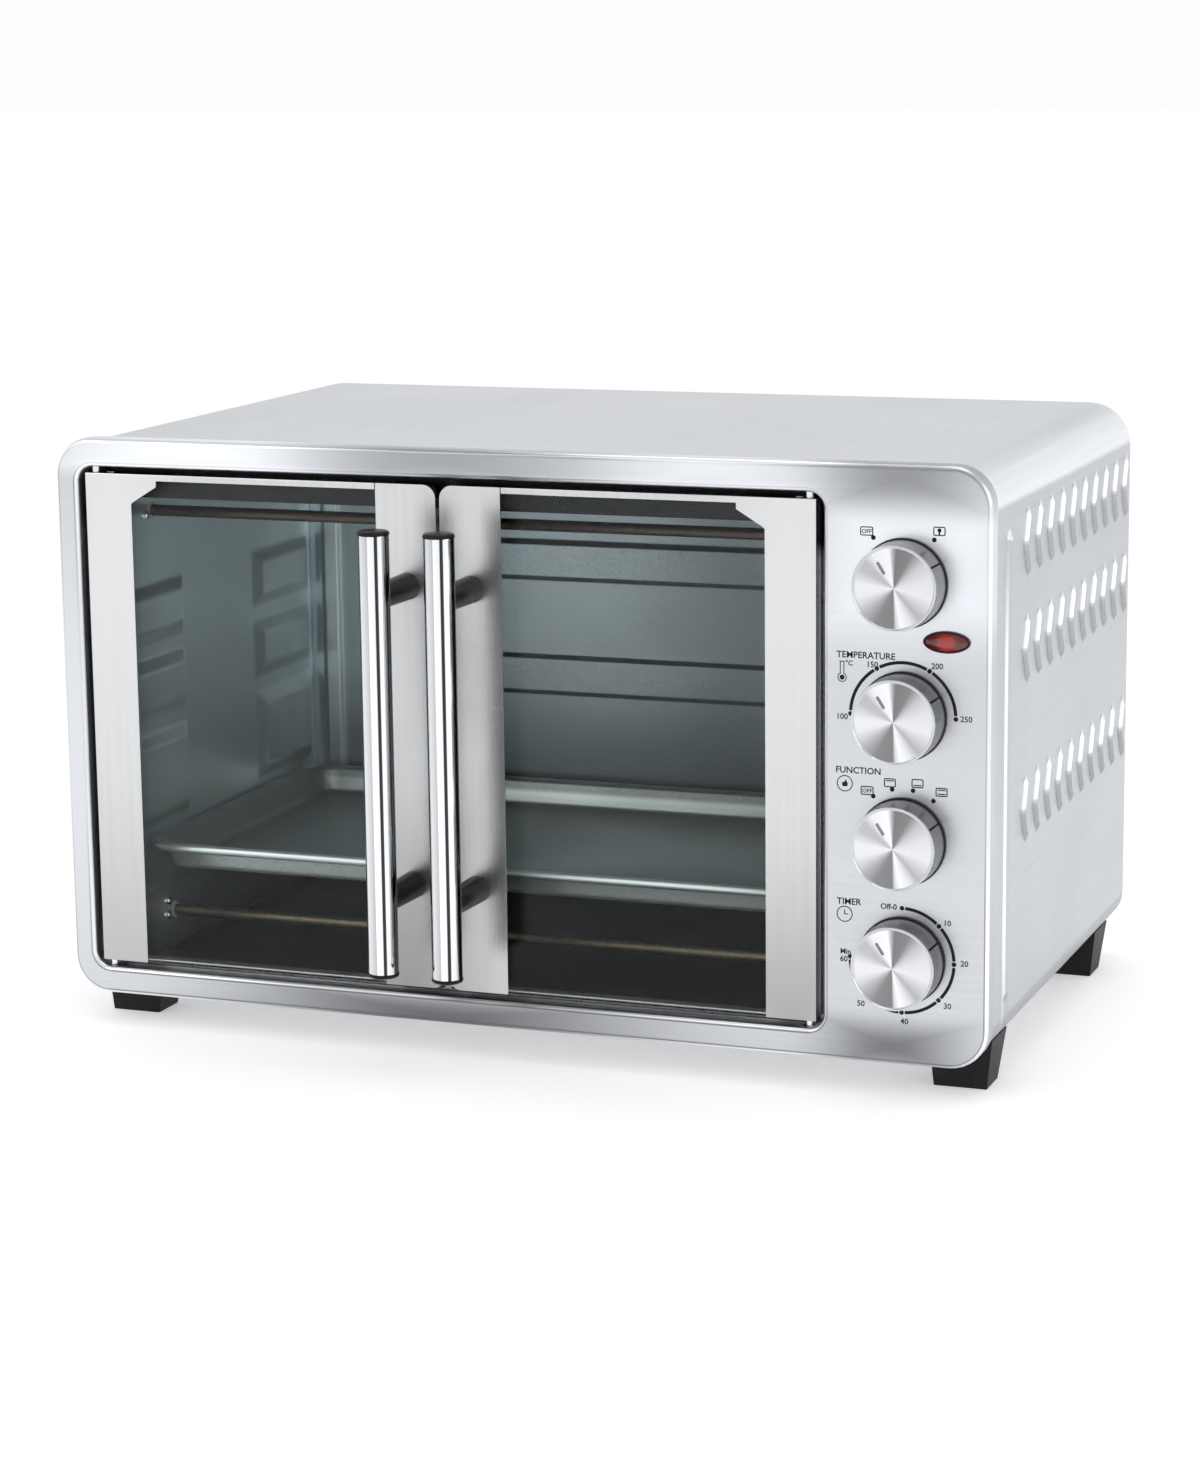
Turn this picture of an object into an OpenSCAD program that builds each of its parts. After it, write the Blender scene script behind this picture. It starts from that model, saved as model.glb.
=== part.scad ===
// Countertop toaster oven with two side-hinged glass doors.
// Drawn from its front face: +X right, +Y towards the rear, +Z up. The whole model is
// then shifted so that the origin lies under the middle of its box, on the table.

/* [Body] */
// Width of the front panel
body_w = 550; // [540:1:570]
// Height of the front panel, without the feet
body_h = 326; // [326:1:330]
// Front face of the panel to the rear of the cover
body_d = 343; // [341:1:350]
// Corner radius of the front panel
panel_corner = 22; // [18:1:24]
// Depth of the front panel's return flange
flange_d = 12; // [12:0.5:12.5]
// Sheet thickness
sheet = 1; // [0.8:0.1:1]
// Step from the front panel's edge in to the cover
cover_step = 1.5; // [1:0.5:2]
// Height of the feet under the panel's lower edge
foot_h = 19; // [17:1:22]

/* [Door opening] */
// Left margin of the opening
margin_side = 14; // [13:0.5:15]
// Lower margin of the opening
margin_bottom = 16; // [15.5:0.5:16.5]
// Upper margin of the opening
margin_top = 16.4; // [16:0.1:16.5]
// Width of the control panel right of the opening
controls_w = 92; // [91:0.5:93]
// Gap between a door's outer edge and the opening
door_gap = 4.3; // [4:0.1:4.5]
// Gap at the seam between the doors
seam_gap = 2.4; // [2:0.1:3]
// Gap above and below a door
door_gap_z = 3.6; // [3.4:0.1:4]

/* [Doors] */
// Front skin of a door, behind the panel's front face
door_front = 2; // [1.5:0.5:2.5]
// Glass thickness
glass_t = 4; // [3.8:0.1:4]
// Depth of the hinge stile's channel
stile_d = 9.5; // [9:0.1:9.6]
// Width of the hinge stile's front
stile_w = 28.7; // [26:0.1:31]
// Width of the handle plate
plate_w = 36; // [34:0.5:40]
// Handle tube diameter
tube_d = 17; // [15:0.5:18]
// Handle tube length without its caps
tube_l = 245; // [230:1:250]
// Handle tube axis in front of the panel
tube_out = 42; // [38:1:46]
// Height of the lower standoff
standoff_low = 79; // [75:1:90]
// Height of the upper standoff
standoff_high = 249; // [235:1:252]
// Hinge pin radius
pin_r = 2.5; // [2.5:0.1:2.6]

/* [Controls] */
// Knob axes, right of the middle
knob_x = 227.4; // [226:0.1:229]
// Knob base diameter
knob_d = 48.4; // [44:0.2:50]
// Knob length in front of the panel
knob_l = 20; // [18:0.5:22]
// Shaft radius
shaft_r = 3; // [2.8:0.1:3]

/* [Cavity] */
// Inner width
cavity_w = 416; // [414:1:416]
// Rear face of the cavity behind the panel's front
cavity_back_y = 280; // [278:1:290]
// Top of the cavity above the panel's lower edge
cavity_top_z = 304; // [303:0.5:305]
// Heating rod radius
rod_r = 3.3; // [3:0.1:3.5]
// Rack guide height off the wall
guide_t = 4; // [3:0.5:4]

/* [Hidden] */
$fn = 64;
eps = 0.05;
run_gap = 0.05;

opening_l = -body_w / 2 + margin_side;
opening_r = body_w / 2 - controls_w;
opening_b = margin_bottom;
opening_t = body_h - margin_top;
opening_corner = 9;
opening_mid = (opening_l + opening_r) / 2;

door_w = (opening_r - opening_l - 2 * door_gap - seam_gap) / 2;
door_b = opening_b + door_gap_z;
door_t = opening_t - door_gap_z;
pin_in = 4.7;
pin_y = door_front + 5;
pin_len = 20;
glass_y = door_front + sheet;
glass_back = glass_y + glass_t;
glass_edge = 10;
strip_h = 3.6;
tab_w = 44.7;
tab_h = 7;

cavity_l = opening_mid - cavity_w / 2;
cavity_r = opening_mid + cavity_w / 2;
cavity_floor_z = 11;
frame_y = flange_d + 2.5;
wall_y = frame_y + sheet;
frame_opening_b = 18;
frame_opening_t = cavity_top_z - 2;

cover_x = body_w / 2 - cover_step;
cover_t = body_h - cover_step;
cover_corner = 25;
rear_lip = 12;
base_x = 240;
rear_y = body_d - sheet;
shield_x = opening_r + 1;

rod_top_z = 277;
rod_top_y = [64, 216];
rod_low_z = 33;
rod_low_y = [77, 205];
guide_levels = [[199, 234], [154, 190], [90, 145], [50, 83]];
guide_bevel = 8;
guide_front = [wall_y + 8, 100];
guide_rear = [194, cavity_back_y - 5];

knob_z = [58.5, 123.8, 192, 263.3];
timer_z = knob_z[0];
function_z = knob_z[1];
temperature_z = knob_z[2];
light_z = knob_z[3];
bracket_y = 8;
control_y = bracket_y + 1.2;
shaft_end = 25;
lens_x = 251.2;
lens_z = 233;

sensor_y = 150;
sensor_z = 262;
capillary_x = knob_x - 15;
lamp_y = 172;
lamp_z = 250;
gland_x = 200;
gland_z = 45;
gland_bore = 4;
spacer_d = 12;
spacer_x = 150;
spacer_z = 285;
foot_x = 252;
foot_y = [45, 295];
vent_w = 4;

handle_front = tube_out + tube_d / 2 + 0.3;
mid_y = (body_d + spacer_d - handle_front) / 2;

// ---- frames and shared shapes ----

// Moves front-face coordinates to the model's own frame.
module placed() {
    translate([0, -mid_y, foot_h]) children();
}

// Plate parallel to the front, from an outline in X and Z.
module slab(y0, t) {
    translate([0, y0 + t, 0]) rotate([90, 0, 0]) linear_extrude(t) children();
}

// Plate parallel to the sides, from an outline in Y and Z.
module side_slab(x0, t) {
    translate([x0, 0, 0]) rotate([90, 0, 90]) linear_extrude(t) children();
}

// Axis-aligned block between two corners.
module block(low, high) {
    translate(low) cube(high - low);
}

// Rod along Y.
module rod_y(x, z, y0, y1, r) {
    translate([x, y1, z]) rotate([90, 0, 0]) cylinder(r = r, h = y1 - y0);
}

// Rod along X.
module rod_x(y, z, x0, x1, r) {
    translate([x0, y, z]) rotate([0, 90, 0]) cylinder(r = r, h = x1 - x0);
}

// Upright rod.
module rod_z(x, y, z0, z1, r) {
    translate([x, y, z0]) cylinder(r = r, h = z1 - z0);
}

// Rectangle with round corners, its lower corners with a radius of their own.
module round_rect(x0, x1, z0, z1, r, low_r) {
    lower = is_undef(low_r) ? r : low_r;
    middle = (z0 + z1) / 2;
    arch_rect(x0, x1, middle, z1, r);
    translate([0, z0 + middle]) mirror([0, 1]) arch_rect(x0, x1, z0, middle, lower);
}

// Rectangle with round upper corners only.
module arch_rect(x0, x1, z0, z1, r) {
    translate([x0, z0]) square([x1 - x0, z1 - z0 - r]);
    translate([x0 + r, z0]) square([x1 - x0 - 2 * r, z1 - z0]);
    for (x = [x0 + r, x1 - r]) translate([x, z1 - r]) circle(r);
}

// Oval of a width and a height.
module oval(w, h) {
    polygon([for (i = [0 : 23]) [cos(15 * i) * w / 2, sin(15 * i) * h / 2]]);
}

// Slot with round ends, centred, long side along its first axis.
module slot(l, w) {
    square([l - w, w], center = true);
    for (s = [-1, 1]) translate([s * (l - w) / 2, 0]) circle(w / 2);
}

// Puts a left-hand door part on its side: -1 left, 1 right.
module hung(side) {
    if (side < 0) translate([opening_l + door_gap, 0, 0]) children();
    else translate([opening_r - door_gap, 0, 0]) mirror([1, 0, 0]) children();
}

// ---- casing ----

module opening_outline(grow) {
    round_rect(opening_l - grow, opening_r + grow, opening_b - grow, opening_t + grow, opening_corner + grow);
}

module panel_outline(inset) {
    round_rect(
        -body_w / 2 + inset, body_w / 2 - inset, inset, body_h - inset, panel_corner - inset
    );
}

module front_panel() {
    color([0.78, 0.79, 0.8]) placed() difference() {
        union() {
            difference() {
                slab(0, flange_d) panel_outline(0);
                slab(sheet, flange_d) panel_outline(sheet);
            }
            slab(0, flange_d) opening_outline(sheet);
        }
        slab(-1, flange_d + 2) opening_outline(0);
        for (z = knob_z) rod_y(knob_x, z, -1, 3, shaft_r + 1.5);
        slab(-1, 3) translate([lens_x, lens_z]) slot(21.4, 7.4);
        for (x = hinge_axes(), z = [opening_b - 3, opening_t - 1]) rod_z(x, pin_y, z, z + 4, 4);
    }
}

function hinge_axes() = [
    opening_l + door_gap + pin_in,
    opening_r - door_gap - pin_in
];

module cover_outline(inset) {
    round_rect(
        -cover_x + inset, cover_x - inset, sheet + inset, cover_t - inset,
        cover_corner - inset, panel_corner - cover_step - inset
    );
}

louvre_h = 38;
louvre_rows = [276, 217, 127.5];
louvre_pitch = 27.2;
louvre_first = 84;

// One chevron slit, knee towards the front.
module louvre_outline() {
    knee = 8;
    slit = 2.2;
    polygon([
        [knee, louvre_h / 2], [0, 0], [knee, -louvre_h / 2],
        [knee + slit, -louvre_h / 2], [slit * 1.3, 0], [knee + slit, louvre_h / 2]
    ]);
}

module outer_cover() {
    color([0.76, 0.78, 0.79]) placed() difference() {
        union() {
            difference() {
                slab(flange_d, body_d - flange_d) cover_outline(0);
                slab(flange_d - 1, body_d) cover_outline(sheet);
                block([-base_x - 0.3, flange_d - 1, 0], [base_x + 0.3, body_d + 1, 3]);
            }
            difference() {
                slab(rear_y - sheet, sheet) cover_outline(0);
                slab(rear_y - sheet - 1, sheet + 2) cover_outline(rear_lip);
                block([-base_x - 0.3, rear_y - 2, 0], [base_x + 0.3, rear_y + 1, 15]);
            }
        }
        for (z = louvre_rows, i = [0:9]) side_slab(cover_x - sheet - 1, sheet + 2)
            translate([louvre_first + i * louvre_pitch - 8, z]) louvre_outline();
        for (p = rear_screw_places()) rod_y(p[0], p[1], rear_y - 3, body_d + 1, 1.7);
        for (x = [-foot_x, foot_x], y = foot_y) rod_z(x, y, 0, 4, 2.2);
    }
}

function rear_screw_places() = [
    for (x = [-200, 0, 200]) [x, cover_t - 7],
    for (x = [-cover_x + 7, cover_x - 7], z = [60, 230]) [x, z]
];

module rear_cover() {
    color([0.7, 0.71, 0.72]) placed() difference() {
        slab(rear_y, sheet) cover_outline(sheet + 0.2);
        for (row = [0:4], i = [0:7]) slab(rear_y - 1, 3)
            translate([190 + (i - 3.5) * 2.4 * vent_w, 120 + row * 36]) rotate(90) slot(26, vent_w);
        for (i = [0:11]) slab(rear_y - 1, 3)
            translate([-100 + (i - 5.5) * 5 * vent_w, 296]) slot(14, vent_w);
        rod_y(gland_x, gland_z, rear_y - 1, body_d + 1, 9);
        for (p = rear_screw_places()) rod_y(p[0], p[1], rear_y - 1, body_d + 1, 1.7);
        for (x = [-spacer_x, spacer_x]) rod_y(x, spacer_z, rear_y - 1, body_d + 1, 3);
    }
}

module base_plate() {
    color([0.62, 0.64, 0.65]) placed() difference() {
        block([-base_x, flange_d, sheet], [base_x, rear_y - sheet, 2 * sheet]);
        for (row = [0:1], i = [0:9]) translate([(i - 4.5) * 36, 120 + row * 100, 0])
            linear_extrude(4) slot(26, vent_w);
        for (x = [-foot_x, foot_x], y = foot_y) rod_z(x, y, 0, 4, 2.2);
    }
}

// Tapered foot: two crossed trapezoids, tapering most at the back, let into the cover's corner.
module foot() {
    top_w = 36;
    low_w = 30;
    foot_top = 9;
    difference() {
        intersection() {
            translate([0, 20, 0]) rotate([90, 0, 0]) linear_extrude(50) polygon([
                [-low_w / 2, -foot_h], [low_w / 2, -foot_h], [top_w / 2, foot_top], [-top_w / 2, foot_top]
            ]);
            translate([-25, 0, 0]) rotate([90, 0, 90]) linear_extrude(50) polygon([
                [-14, -foot_h], [10, -foot_h], [18, foot_top], [-15, foot_top]
            ]);
        }
        rod_z(0, 0, -foot_h - 1, 2, 2.3);
        rod_z(0, 0, -foot_h - 1, -9, 5);
    }
}

module feet() {
    color([0.07, 0.07, 0.07]) placed() difference() {
        for (x = [-foot_x, foot_x], y = foot_y) translate([x, y, 0]) foot();
        slab(0, body_d) cover_outline(-eps);
    }
}

module case_screws() {
    color([0.6, 0.6, 0.62]) placed() {
        for (x = [-foot_x, foot_x], y = foot_y) {
            rod_z(x, y, -12, -9, 4);
            rod_z(x, y, -9, 6, 2);
        }
        for (p = rear_screw_places()) {
            rod_y(p[0], p[1], body_d, body_d + 2.2, 3.2);
            rod_y(p[0], p[1], rear_y - 6, body_d, 1.5);
        }
    }
}

module rear_spacers() {
    color([0.07, 0.07, 0.07]) placed() for (x = [-spacer_x, spacer_x]) {
        translate([x, body_d, spacer_z]) rotate([-90, 0, 0]) cylinder(r1 = 11, r2 = 8, h = spacer_d);
        rod_y(x, spacer_z, rear_y - 4, body_d, 2.8);
    }
}

module cord_gland() {
    color([0.06, 0.06, 0.06]) placed() difference() {
        union() {
            rod_y(gland_x, gland_z, body_d, body_d + 4, 12);
            rod_y(gland_x, gland_z, rear_y - 6, body_d, 8.8);
            rod_y(gland_x, gland_z, rear_y - 6, rear_y, 12);
        }
        rod_y(gland_x, gland_z, rear_y - 7, body_d + 5, gland_bore);
    }
}

// ---- cavity ----

// Bevelled pad pressed out of a side wall, between two depths and two heights.
module guide_pad(y, z, t, bevel) {
    grow = 1;
    slope = bevel / t;
    intersection() {
        translate([0, y[1] + grow, 0]) rotate([90, 0, 0]) linear_extrude(y[1] - y[0] + 2 * grow) polygon([
            [0, z[0]], [t, z[0] + bevel], [t, z[1] - bevel], [0, z[1]],
            [-grow, z[1] + grow * slope], [-grow, z[0] - grow * slope]
        ]);
        translate([0, 0, z[0] - 9]) linear_extrude(z[1] - z[0] + 18) polygon([
            [0, y[0]], [t, y[0] + bevel], [t, y[1] - bevel], [0, y[1]],
            [-grow, y[1] + grow * slope], [-grow, y[0] - grow * slope]
        ]);
    }
}

// Left-hand wall seen from inside, its inner face at x = 0.
module guide_wall() {
    difference() {
        union() {
            side_slab(-sheet, sheet) polygon([
                [wall_y, cavity_floor_z], [cavity_back_y, cavity_floor_z],
                [cavity_back_y, cavity_top_z], [wall_y, cavity_top_z]
            ]);
            for (z = guide_levels, y = [guide_front, guide_rear])
                intersection() {
                    guide_pad(y, z, guide_t, guide_bevel);
                    block([-sheet, wall_y, 0], [guide_t, cavity_back_y, cavity_top_z]);
                }
        }
        for (z = guide_levels, y = [guide_front, guide_rear])
            translate([-sheet - eps, 0, 0]) guide_pad(y + [1, -1], z + [1, -1], guide_t, guide_bevel);
        for (y = rod_top_y) rod_x(y, rod_top_z, -3, 3, 5.1);
        for (y = rod_low_y) rod_x(y, rod_low_z, -3, 3, 5.1);
        for (p = element_screw_places()) rod_x(p[0], p[1], -3, 3, 1.6);
    }
}

function element_screw_places() = [
    for (y = rod_top_y) [y - 8, rod_top_z - 2],
    for (y = rod_low_y) [y - 11, rod_low_z - 1],
    [67, 40.5]
];

module cavity_left_wall() {
    color([0.42, 0.46, 0.48]) placed() translate([cavity_l, 0, 0]) guide_wall();
}

module cavity_right_wall() {
    color([0.42, 0.46, 0.48]) placed() difference() {
        translate([cavity_r, 0, 0]) mirror([1, 0, 0]) guide_wall();
        rod_x(lamp_y, lamp_z, cavity_r - 1, cavity_r + 2, 17);
        rod_x(sensor_y, sensor_z, cavity_r - 1, cavity_r + 2, 1.5);
    }
}

module cavity_top() {
    color([0.3, 0.33, 0.35]) placed() {
        block([cavity_l - sheet, wall_y, cavity_top_z], [cavity_r + sheet, cavity_back_y + sheet, cavity_top_z + sheet]);
        block([cavity_l, wall_y + 1, frame_opening_t - 11], [cavity_r, wall_y + 2, cavity_top_z]);
    }
}

module cavity_floor() {
    color([0.16, 0.16, 0.17]) placed() block(
        [cavity_l - sheet, wall_y, cavity_floor_z - sheet],
        [cavity_r + sheet, cavity_back_y + sheet, cavity_floor_z]
    );
}

rib_levels = [[137, 163], [210, 236]];
rib_t = 2.5;

module cavity_back() {
    color([0.42, 0.46, 0.48]) placed() {
        difference() {
            block([cavity_l, cavity_back_y, cavity_floor_z], [cavity_r, cavity_back_y + sheet, cavity_top_z]);
            for (z = rib_levels) block(
                [cavity_l + 36, cavity_back_y - 1, z[0] + sheet],
                [cavity_r - 36, cavity_back_y + 2, z[1] - sheet]
            );
        }
        for (z = rib_levels) difference() {
            block([cavity_l + 35, cavity_back_y - rib_t, z[0]], [cavity_r - 35, cavity_back_y + sheet, z[1]]);
            block(
                [cavity_l + 36, cavity_back_y - rib_t + sheet, z[0] + sheet],
                [cavity_r - 36, cavity_back_y + 2, z[1] - sheet]
            );
        }
        for (x = [cavity_l + 8, cavity_r - 22])
            block([x, cavity_back_y - 1.5, cavity_floor_z + 5], [x + 14, cavity_back_y, cavity_top_z - 5]);
    }
}

module cavity_front_frame() {
    color([0.6, 0.62, 0.63]) placed() slab(frame_y, sheet) difference() {
        round_rect(opening_l - 5, opening_r + 5, 7, cavity_top_z + 14, 6);
        round_rect(cavity_l, cavity_r, frame_opening_b, frame_opening_t, 14);
    }
}

module heat_shield() {
    color([0.55, 0.57, 0.58]) placed() difference() {
        block([shield_x, frame_y + 4, 3], [shield_x + sheet, rear_y - 2, cavity_top_z + 12]);
        rod_x(lamp_y, lamp_z, shield_x - 1, shield_x + 3, 18);
        rod_x(sensor_y, sensor_z, shield_x - 1, shield_x + 3, 2);
    }
}

module rods(places, z, tone) {
    color(tone) placed() for (y = places) {
        rod_x(y, z, cavity_l - 11, cavity_r + 7, rod_r);
        rod_x(y, z, cavity_l - 19, cavity_l - 11, 1.2);
        rod_x(y, z, cavity_r + 7, cavity_r + 13, 1.2);
    }
}

module top_elements() {
    rods(rod_top_y, rod_top_z, [0.18, 0.17, 0.16]);
}

module bottom_elements() {
    rods(rod_low_y, rod_low_z, [0.3, 0.27, 0.23]);
}

module insulator(y, z) {
    for (side = [-1, 1]) difference() {
        union() {
            rod_x(y, z, side < 0 ? cavity_l - 4 : cavity_r - 0.5, side < 0 ? cavity_l + 0.5 : cavity_r + 4, 5);
            rod_x(y, z, side < 0 ? cavity_l - 4 : cavity_r + sheet, side < 0 ? cavity_l - sheet : cavity_r + 4, 6.4);
        }
        rod_x(y, z, cavity_l - 9, cavity_r + 9, rod_r + run_gap);
    }
}

module element_insulators() {
    color([0.9, 0.88, 0.83]) placed() {
        for (y = rod_top_y) insulator(y, rod_top_z);
        for (y = rod_low_y) insulator(y, rod_low_z);
    }
}

module element_screws() {
    color([0.8, 0.8, 0.8]) placed() for (p = element_screw_places()) {
        rod_x(p[0], p[1], cavity_l, cavity_l + 1.8, 2.6);
        rod_x(p[0], p[1], cavity_l - 4, cavity_l, 1.5);
        rod_x(p[0], p[1], cavity_r - 1.8, cavity_r, 2.6);
        rod_x(p[0], p[1], cavity_r, cavity_r + 4, 1.5);
    }
}

module lamp_holder() {
    color([0.88, 0.86, 0.8]) placed() difference() {
        rod_x(lamp_y, lamp_z, cavity_r + sheet, cavity_r + 36, 17);
        rod_x(lamp_y, lamp_z, cavity_r, cavity_r + 30, 7.5);
    }
}

module lamp_bulb() {
    color([0.95, 0.93, 0.85]) placed() translate([cavity_r - 12, lamp_y, lamp_z]) rotate([0, 90, 0])
        rotate_extrude() polygon([
            [0, 0], [4, 0.8], [7, 2.6], [8.6, 5], [9, 7], [8.6, 9], [7, 11.8], [7, 42], [0, 42]
        ]);
}

// Glass cup with a flange that lies on the right wall, opening towards it.
module lamp_glass() {
    cup_r = 15.5;
    cup_l = 18;
    color([0.8, 0.85, 0.85, 0.5]) placed() translate([cavity_r, lamp_y, lamp_z]) rotate([0, -90, 0])
        difference() {
            union() {
                cylinder(r = 21, h = 2);
                cylinder(r = cup_r, h = cup_l - 4);
                translate([0, 0, cup_l - 4]) cylinder(r1 = cup_r, r2 = cup_r - 5, h = 4);
            }
            translate([0, 0, -1]) cylinder(r = cup_r - 1.5, h = cup_l - 4);
        }
}

// ---- trays ----

tray_x = [cavity_l + 1.5, cavity_r - 1.5];
tray_y = [28, 272];
tray_top = 85;
tray_depth = 17;
tray_rim = 9;
tray_roll = 4.9;

module tray_outline(inset) {
    round_rect(tray_x[0] + inset, tray_x[1] - inset, tray_y[0] + inset, tray_y[1] - inset, 24 - inset);
}

module bake_tray() {
    color([0.36, 0.37, 0.37]) placed() {
        translate([0, 0, tray_top - 1]) linear_extrude(1) difference() {
            tray_outline(0);
            tray_outline(tray_rim);
        }
        translate([0, 0, tray_top - tray_roll]) linear_extrude(tray_roll) difference() {
            tray_outline(0);
            tray_outline(1.4);
        }
        translate([0, 0, tray_top - tray_depth]) linear_extrude(tray_depth) difference() {
            tray_outline(tray_rim - 1);
            tray_outline(tray_rim);
        }
        translate([0, 0, tray_top - tray_depth]) linear_extrude(1) tray_outline(tray_rim - 1);
    }
}

crumb_x = [cavity_l + 11, cavity_r - 11];
crumb_y = [34, 268];
crumb_z = cavity_floor_z + run_gap;
crumb_lip_z = frame_opening_b + 0.4;
crumb_lip_y = frame_y - 1;

module crumb_tray() {
    t = 0.8;
    wall = 6;
    color([0.2, 0.2, 0.21]) placed() {
        block([crumb_x[0], crumb_y[0], crumb_z], [crumb_x[1], crumb_y[1], crumb_z + t]);
        for (x = [crumb_x[0], crumb_x[1] - t])
            block([x, crumb_y[0], crumb_z], [x + t, crumb_y[1], crumb_z + wall]);
        block([crumb_x[0], crumb_y[1] - t, crumb_z], [crumb_x[1], crumb_y[1], crumb_z + wall]);
        block([crumb_x[0], crumb_y[0], crumb_z], [crumb_x[1], crumb_y[0] + t, crumb_lip_z + t]);
        block([crumb_x[0], crumb_lip_y, crumb_lip_z], [crumb_x[1], crumb_y[0] + t, crumb_lip_z + t]);
    }
}

// ---- doors, drawn with the outer edge at x = 0 and the seam edge at x = door_w ----

plate_mid = door_w - plate_w / 2;
screw_z = [standoff_low, standoff_high];

module glass(side) {
    color([0.75, 0.82, 0.84, 0.3]) placed() hung(side) difference() {
        block([glass_edge, glass_y, door_b + 0.5], [door_w - sheet - 0.2, glass_back, door_t - 0.5]);
        for (z = screw_z) rod_y(plate_mid, z, glass_y - 1, glass_back + 1, 2.4);
    }
}

module hinge_stile(side) {
    color([0.8, 0.81, 0.82]) placed() hung(side) {
        slab(door_front, sheet) polygon([
            [0, door_b], [stile_w, door_b], [stile_w, door_t - 17], [stile_w + 2, door_t - 15.5],
            [tab_w, door_t - tab_h], [tab_w, door_t - strip_h], [door_w - plate_w - 0.5, door_t - strip_h],
            [door_w - plate_w - 0.5, door_t], [0, door_t]
        ]);
        block([0, door_front, door_b], [sheet, door_front + stile_d, door_t]);
        block([0, door_front + stile_d - sheet, door_b], [14, door_front + stile_d, door_t]);
    }
}

module hinge_blocks(side) {
    low = [sheet + 0.1, glass_y + 0.1];
    high = [glass_edge - 0.3, door_front + stile_d - sheet - 0.1];
    color([0.08, 0.08, 0.08]) placed() hung(side) difference() {
        for (z = [door_b, door_t - 14]) block([low[0], low[1], z], [high[0], high[1], z + 14]);
        rod_z(pin_in, pin_y, door_b - 1, door_t + 1, pin_r);
    }
}

module hinge_pins(side) {
    color([0.85, 0.85, 0.86]) placed() hung(side) for (z = [door_b + 14 - pin_len, door_t - 14])
        rod_z(pin_in, pin_y, z, z + pin_len, pin_r);
}

module hinge_bushes() {
    color([0.92, 0.92, 0.9]) placed() for (x = hinge_axes()) difference() {
        union() {
            rod_z(x, pin_y, opening_t, opening_t + sheet + 2, 4 - run_gap);
            rod_z(x, pin_y, opening_t + sheet, opening_t + sheet + 2, 4.8);
            rod_z(x, pin_y, opening_b - sheet - 2, opening_b, 4 - run_gap);
            rod_z(x, pin_y, opening_b - sheet - 2, opening_b - sheet, 4.8);
        }
        rod_z(x, pin_y, opening_b - 9, opening_t + 9, pin_r + run_gap);
    }
}

// Outline with round corners on the seam side only.
module plate_outline() {
    r = 7.5;
    x0 = door_w - plate_w;
    translate([x0, door_b]) square([plate_w - r, door_t - door_b]);
    translate([x0, door_b + r]) square([plate_w, door_t - door_b - 2 * r]);
    for (z = [door_b + r, door_t - r]) translate([door_w - r, z]) circle(r);
}

module handle_plate(side) {
    color([0.8, 0.81, 0.82]) placed() hung(side) difference() {
        union() {
            slab(door_front, sheet) plate_outline();
            block([door_w - sheet, door_front, door_b + 8], [door_w, glass_back + sheet, door_t - 8]);
            block([door_w - 28, glass_back, door_b + 8], [door_w, glass_back + sheet, door_t - 8]);
        }
        for (z = screw_z) rod_y(plate_mid, z, door_front - 1, glass_back + 3, 2.2);
    }
}

tube_low = (standoff_low + standoff_high - tube_l) / 2 - 2.5;

module handle_tube(side) {
    color([0.88, 0.88, 0.9]) placed() hung(side) difference() {
        rod_z(plate_mid, -tube_out, tube_low, tube_low + tube_l, tube_d / 2);
        rod_z(plate_mid, -tube_out, tube_low - 1, tube_low + tube_l + 1, tube_d / 2 - 1.2);
    }
}

module handle_standoffs(side) {
    color([0.05, 0.05, 0.05]) placed() hung(side) difference() {
        for (z = screw_z) translate([plate_mid, door_front, z]) rotate([90, 0, 0])
            cylinder(r1 = 7.7, r2 = 7, h = tube_out + door_front - 4);
        rod_z(plate_mid, -tube_out, tube_low, tube_low + tube_l, tube_d / 2);
        for (z = screw_z) rod_y(plate_mid, z, -22, door_front + 1, 2.05);
    }
}

module handle_caps(side) {
    color([0.05, 0.05, 0.05]) placed() hung(side) for (end = [0, 1]) {
        z = end ? tube_low + tube_l : tube_low;
        rod_z(plate_mid, -tube_out, end ? z : z - 2.5, end ? z + 2.5 : z, tube_d / 2 + 0.3);
        rod_z(plate_mid, -tube_out, end ? z - 8 : z, end ? z : z + 8, tube_d / 2 - 1.25);
    }
}

module handle_screws(side) {
    color([0.6, 0.6, 0.62]) placed() hung(side) for (z = screw_z) {
        rod_y(plate_mid, z, glass_back + sheet, glass_back + sheet + 2.2, 3.8);
        rod_y(plate_mid, z, -20, glass_back + sheet, 2);
    }
}

// ---- controls ----

// Turned knob; its profile runs from the base ring to the shallow dished face.
module knob(z) {
    r = knob_d / 2;
    color([0.62, 0.63, 0.65]) placed() translate([knob_x, 0, z]) rotate([90, 0, 0]) rotate_extrude(angle = 360)
        polygon([
            [shaft_r, 1.4], [7, 1.4], [7, knob_l - 6], [r - 2.6, knob_l - 6], [r - 2, 0.6],
            [r, 0.6], [r, 1.8], [r - 0.6, 2.2], [r - 1.3, knob_l - 3], [r - 1.2, knob_l - 0.8],
            [r - 1.8, knob_l], [r - 3, knob_l], [r - 4, knob_l - 0.8], [0, knob_l - 0.8],
            [0, knob_l - 4], [shaft_r, knob_l - 4]
        ]);
}

module shaft(z) {
    color([0.7, 0.7, 0.7]) placed() rod_y(knob_x, z, -(knob_l - 4.2), shaft_end, shaft_r - 0.02);
}

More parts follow.
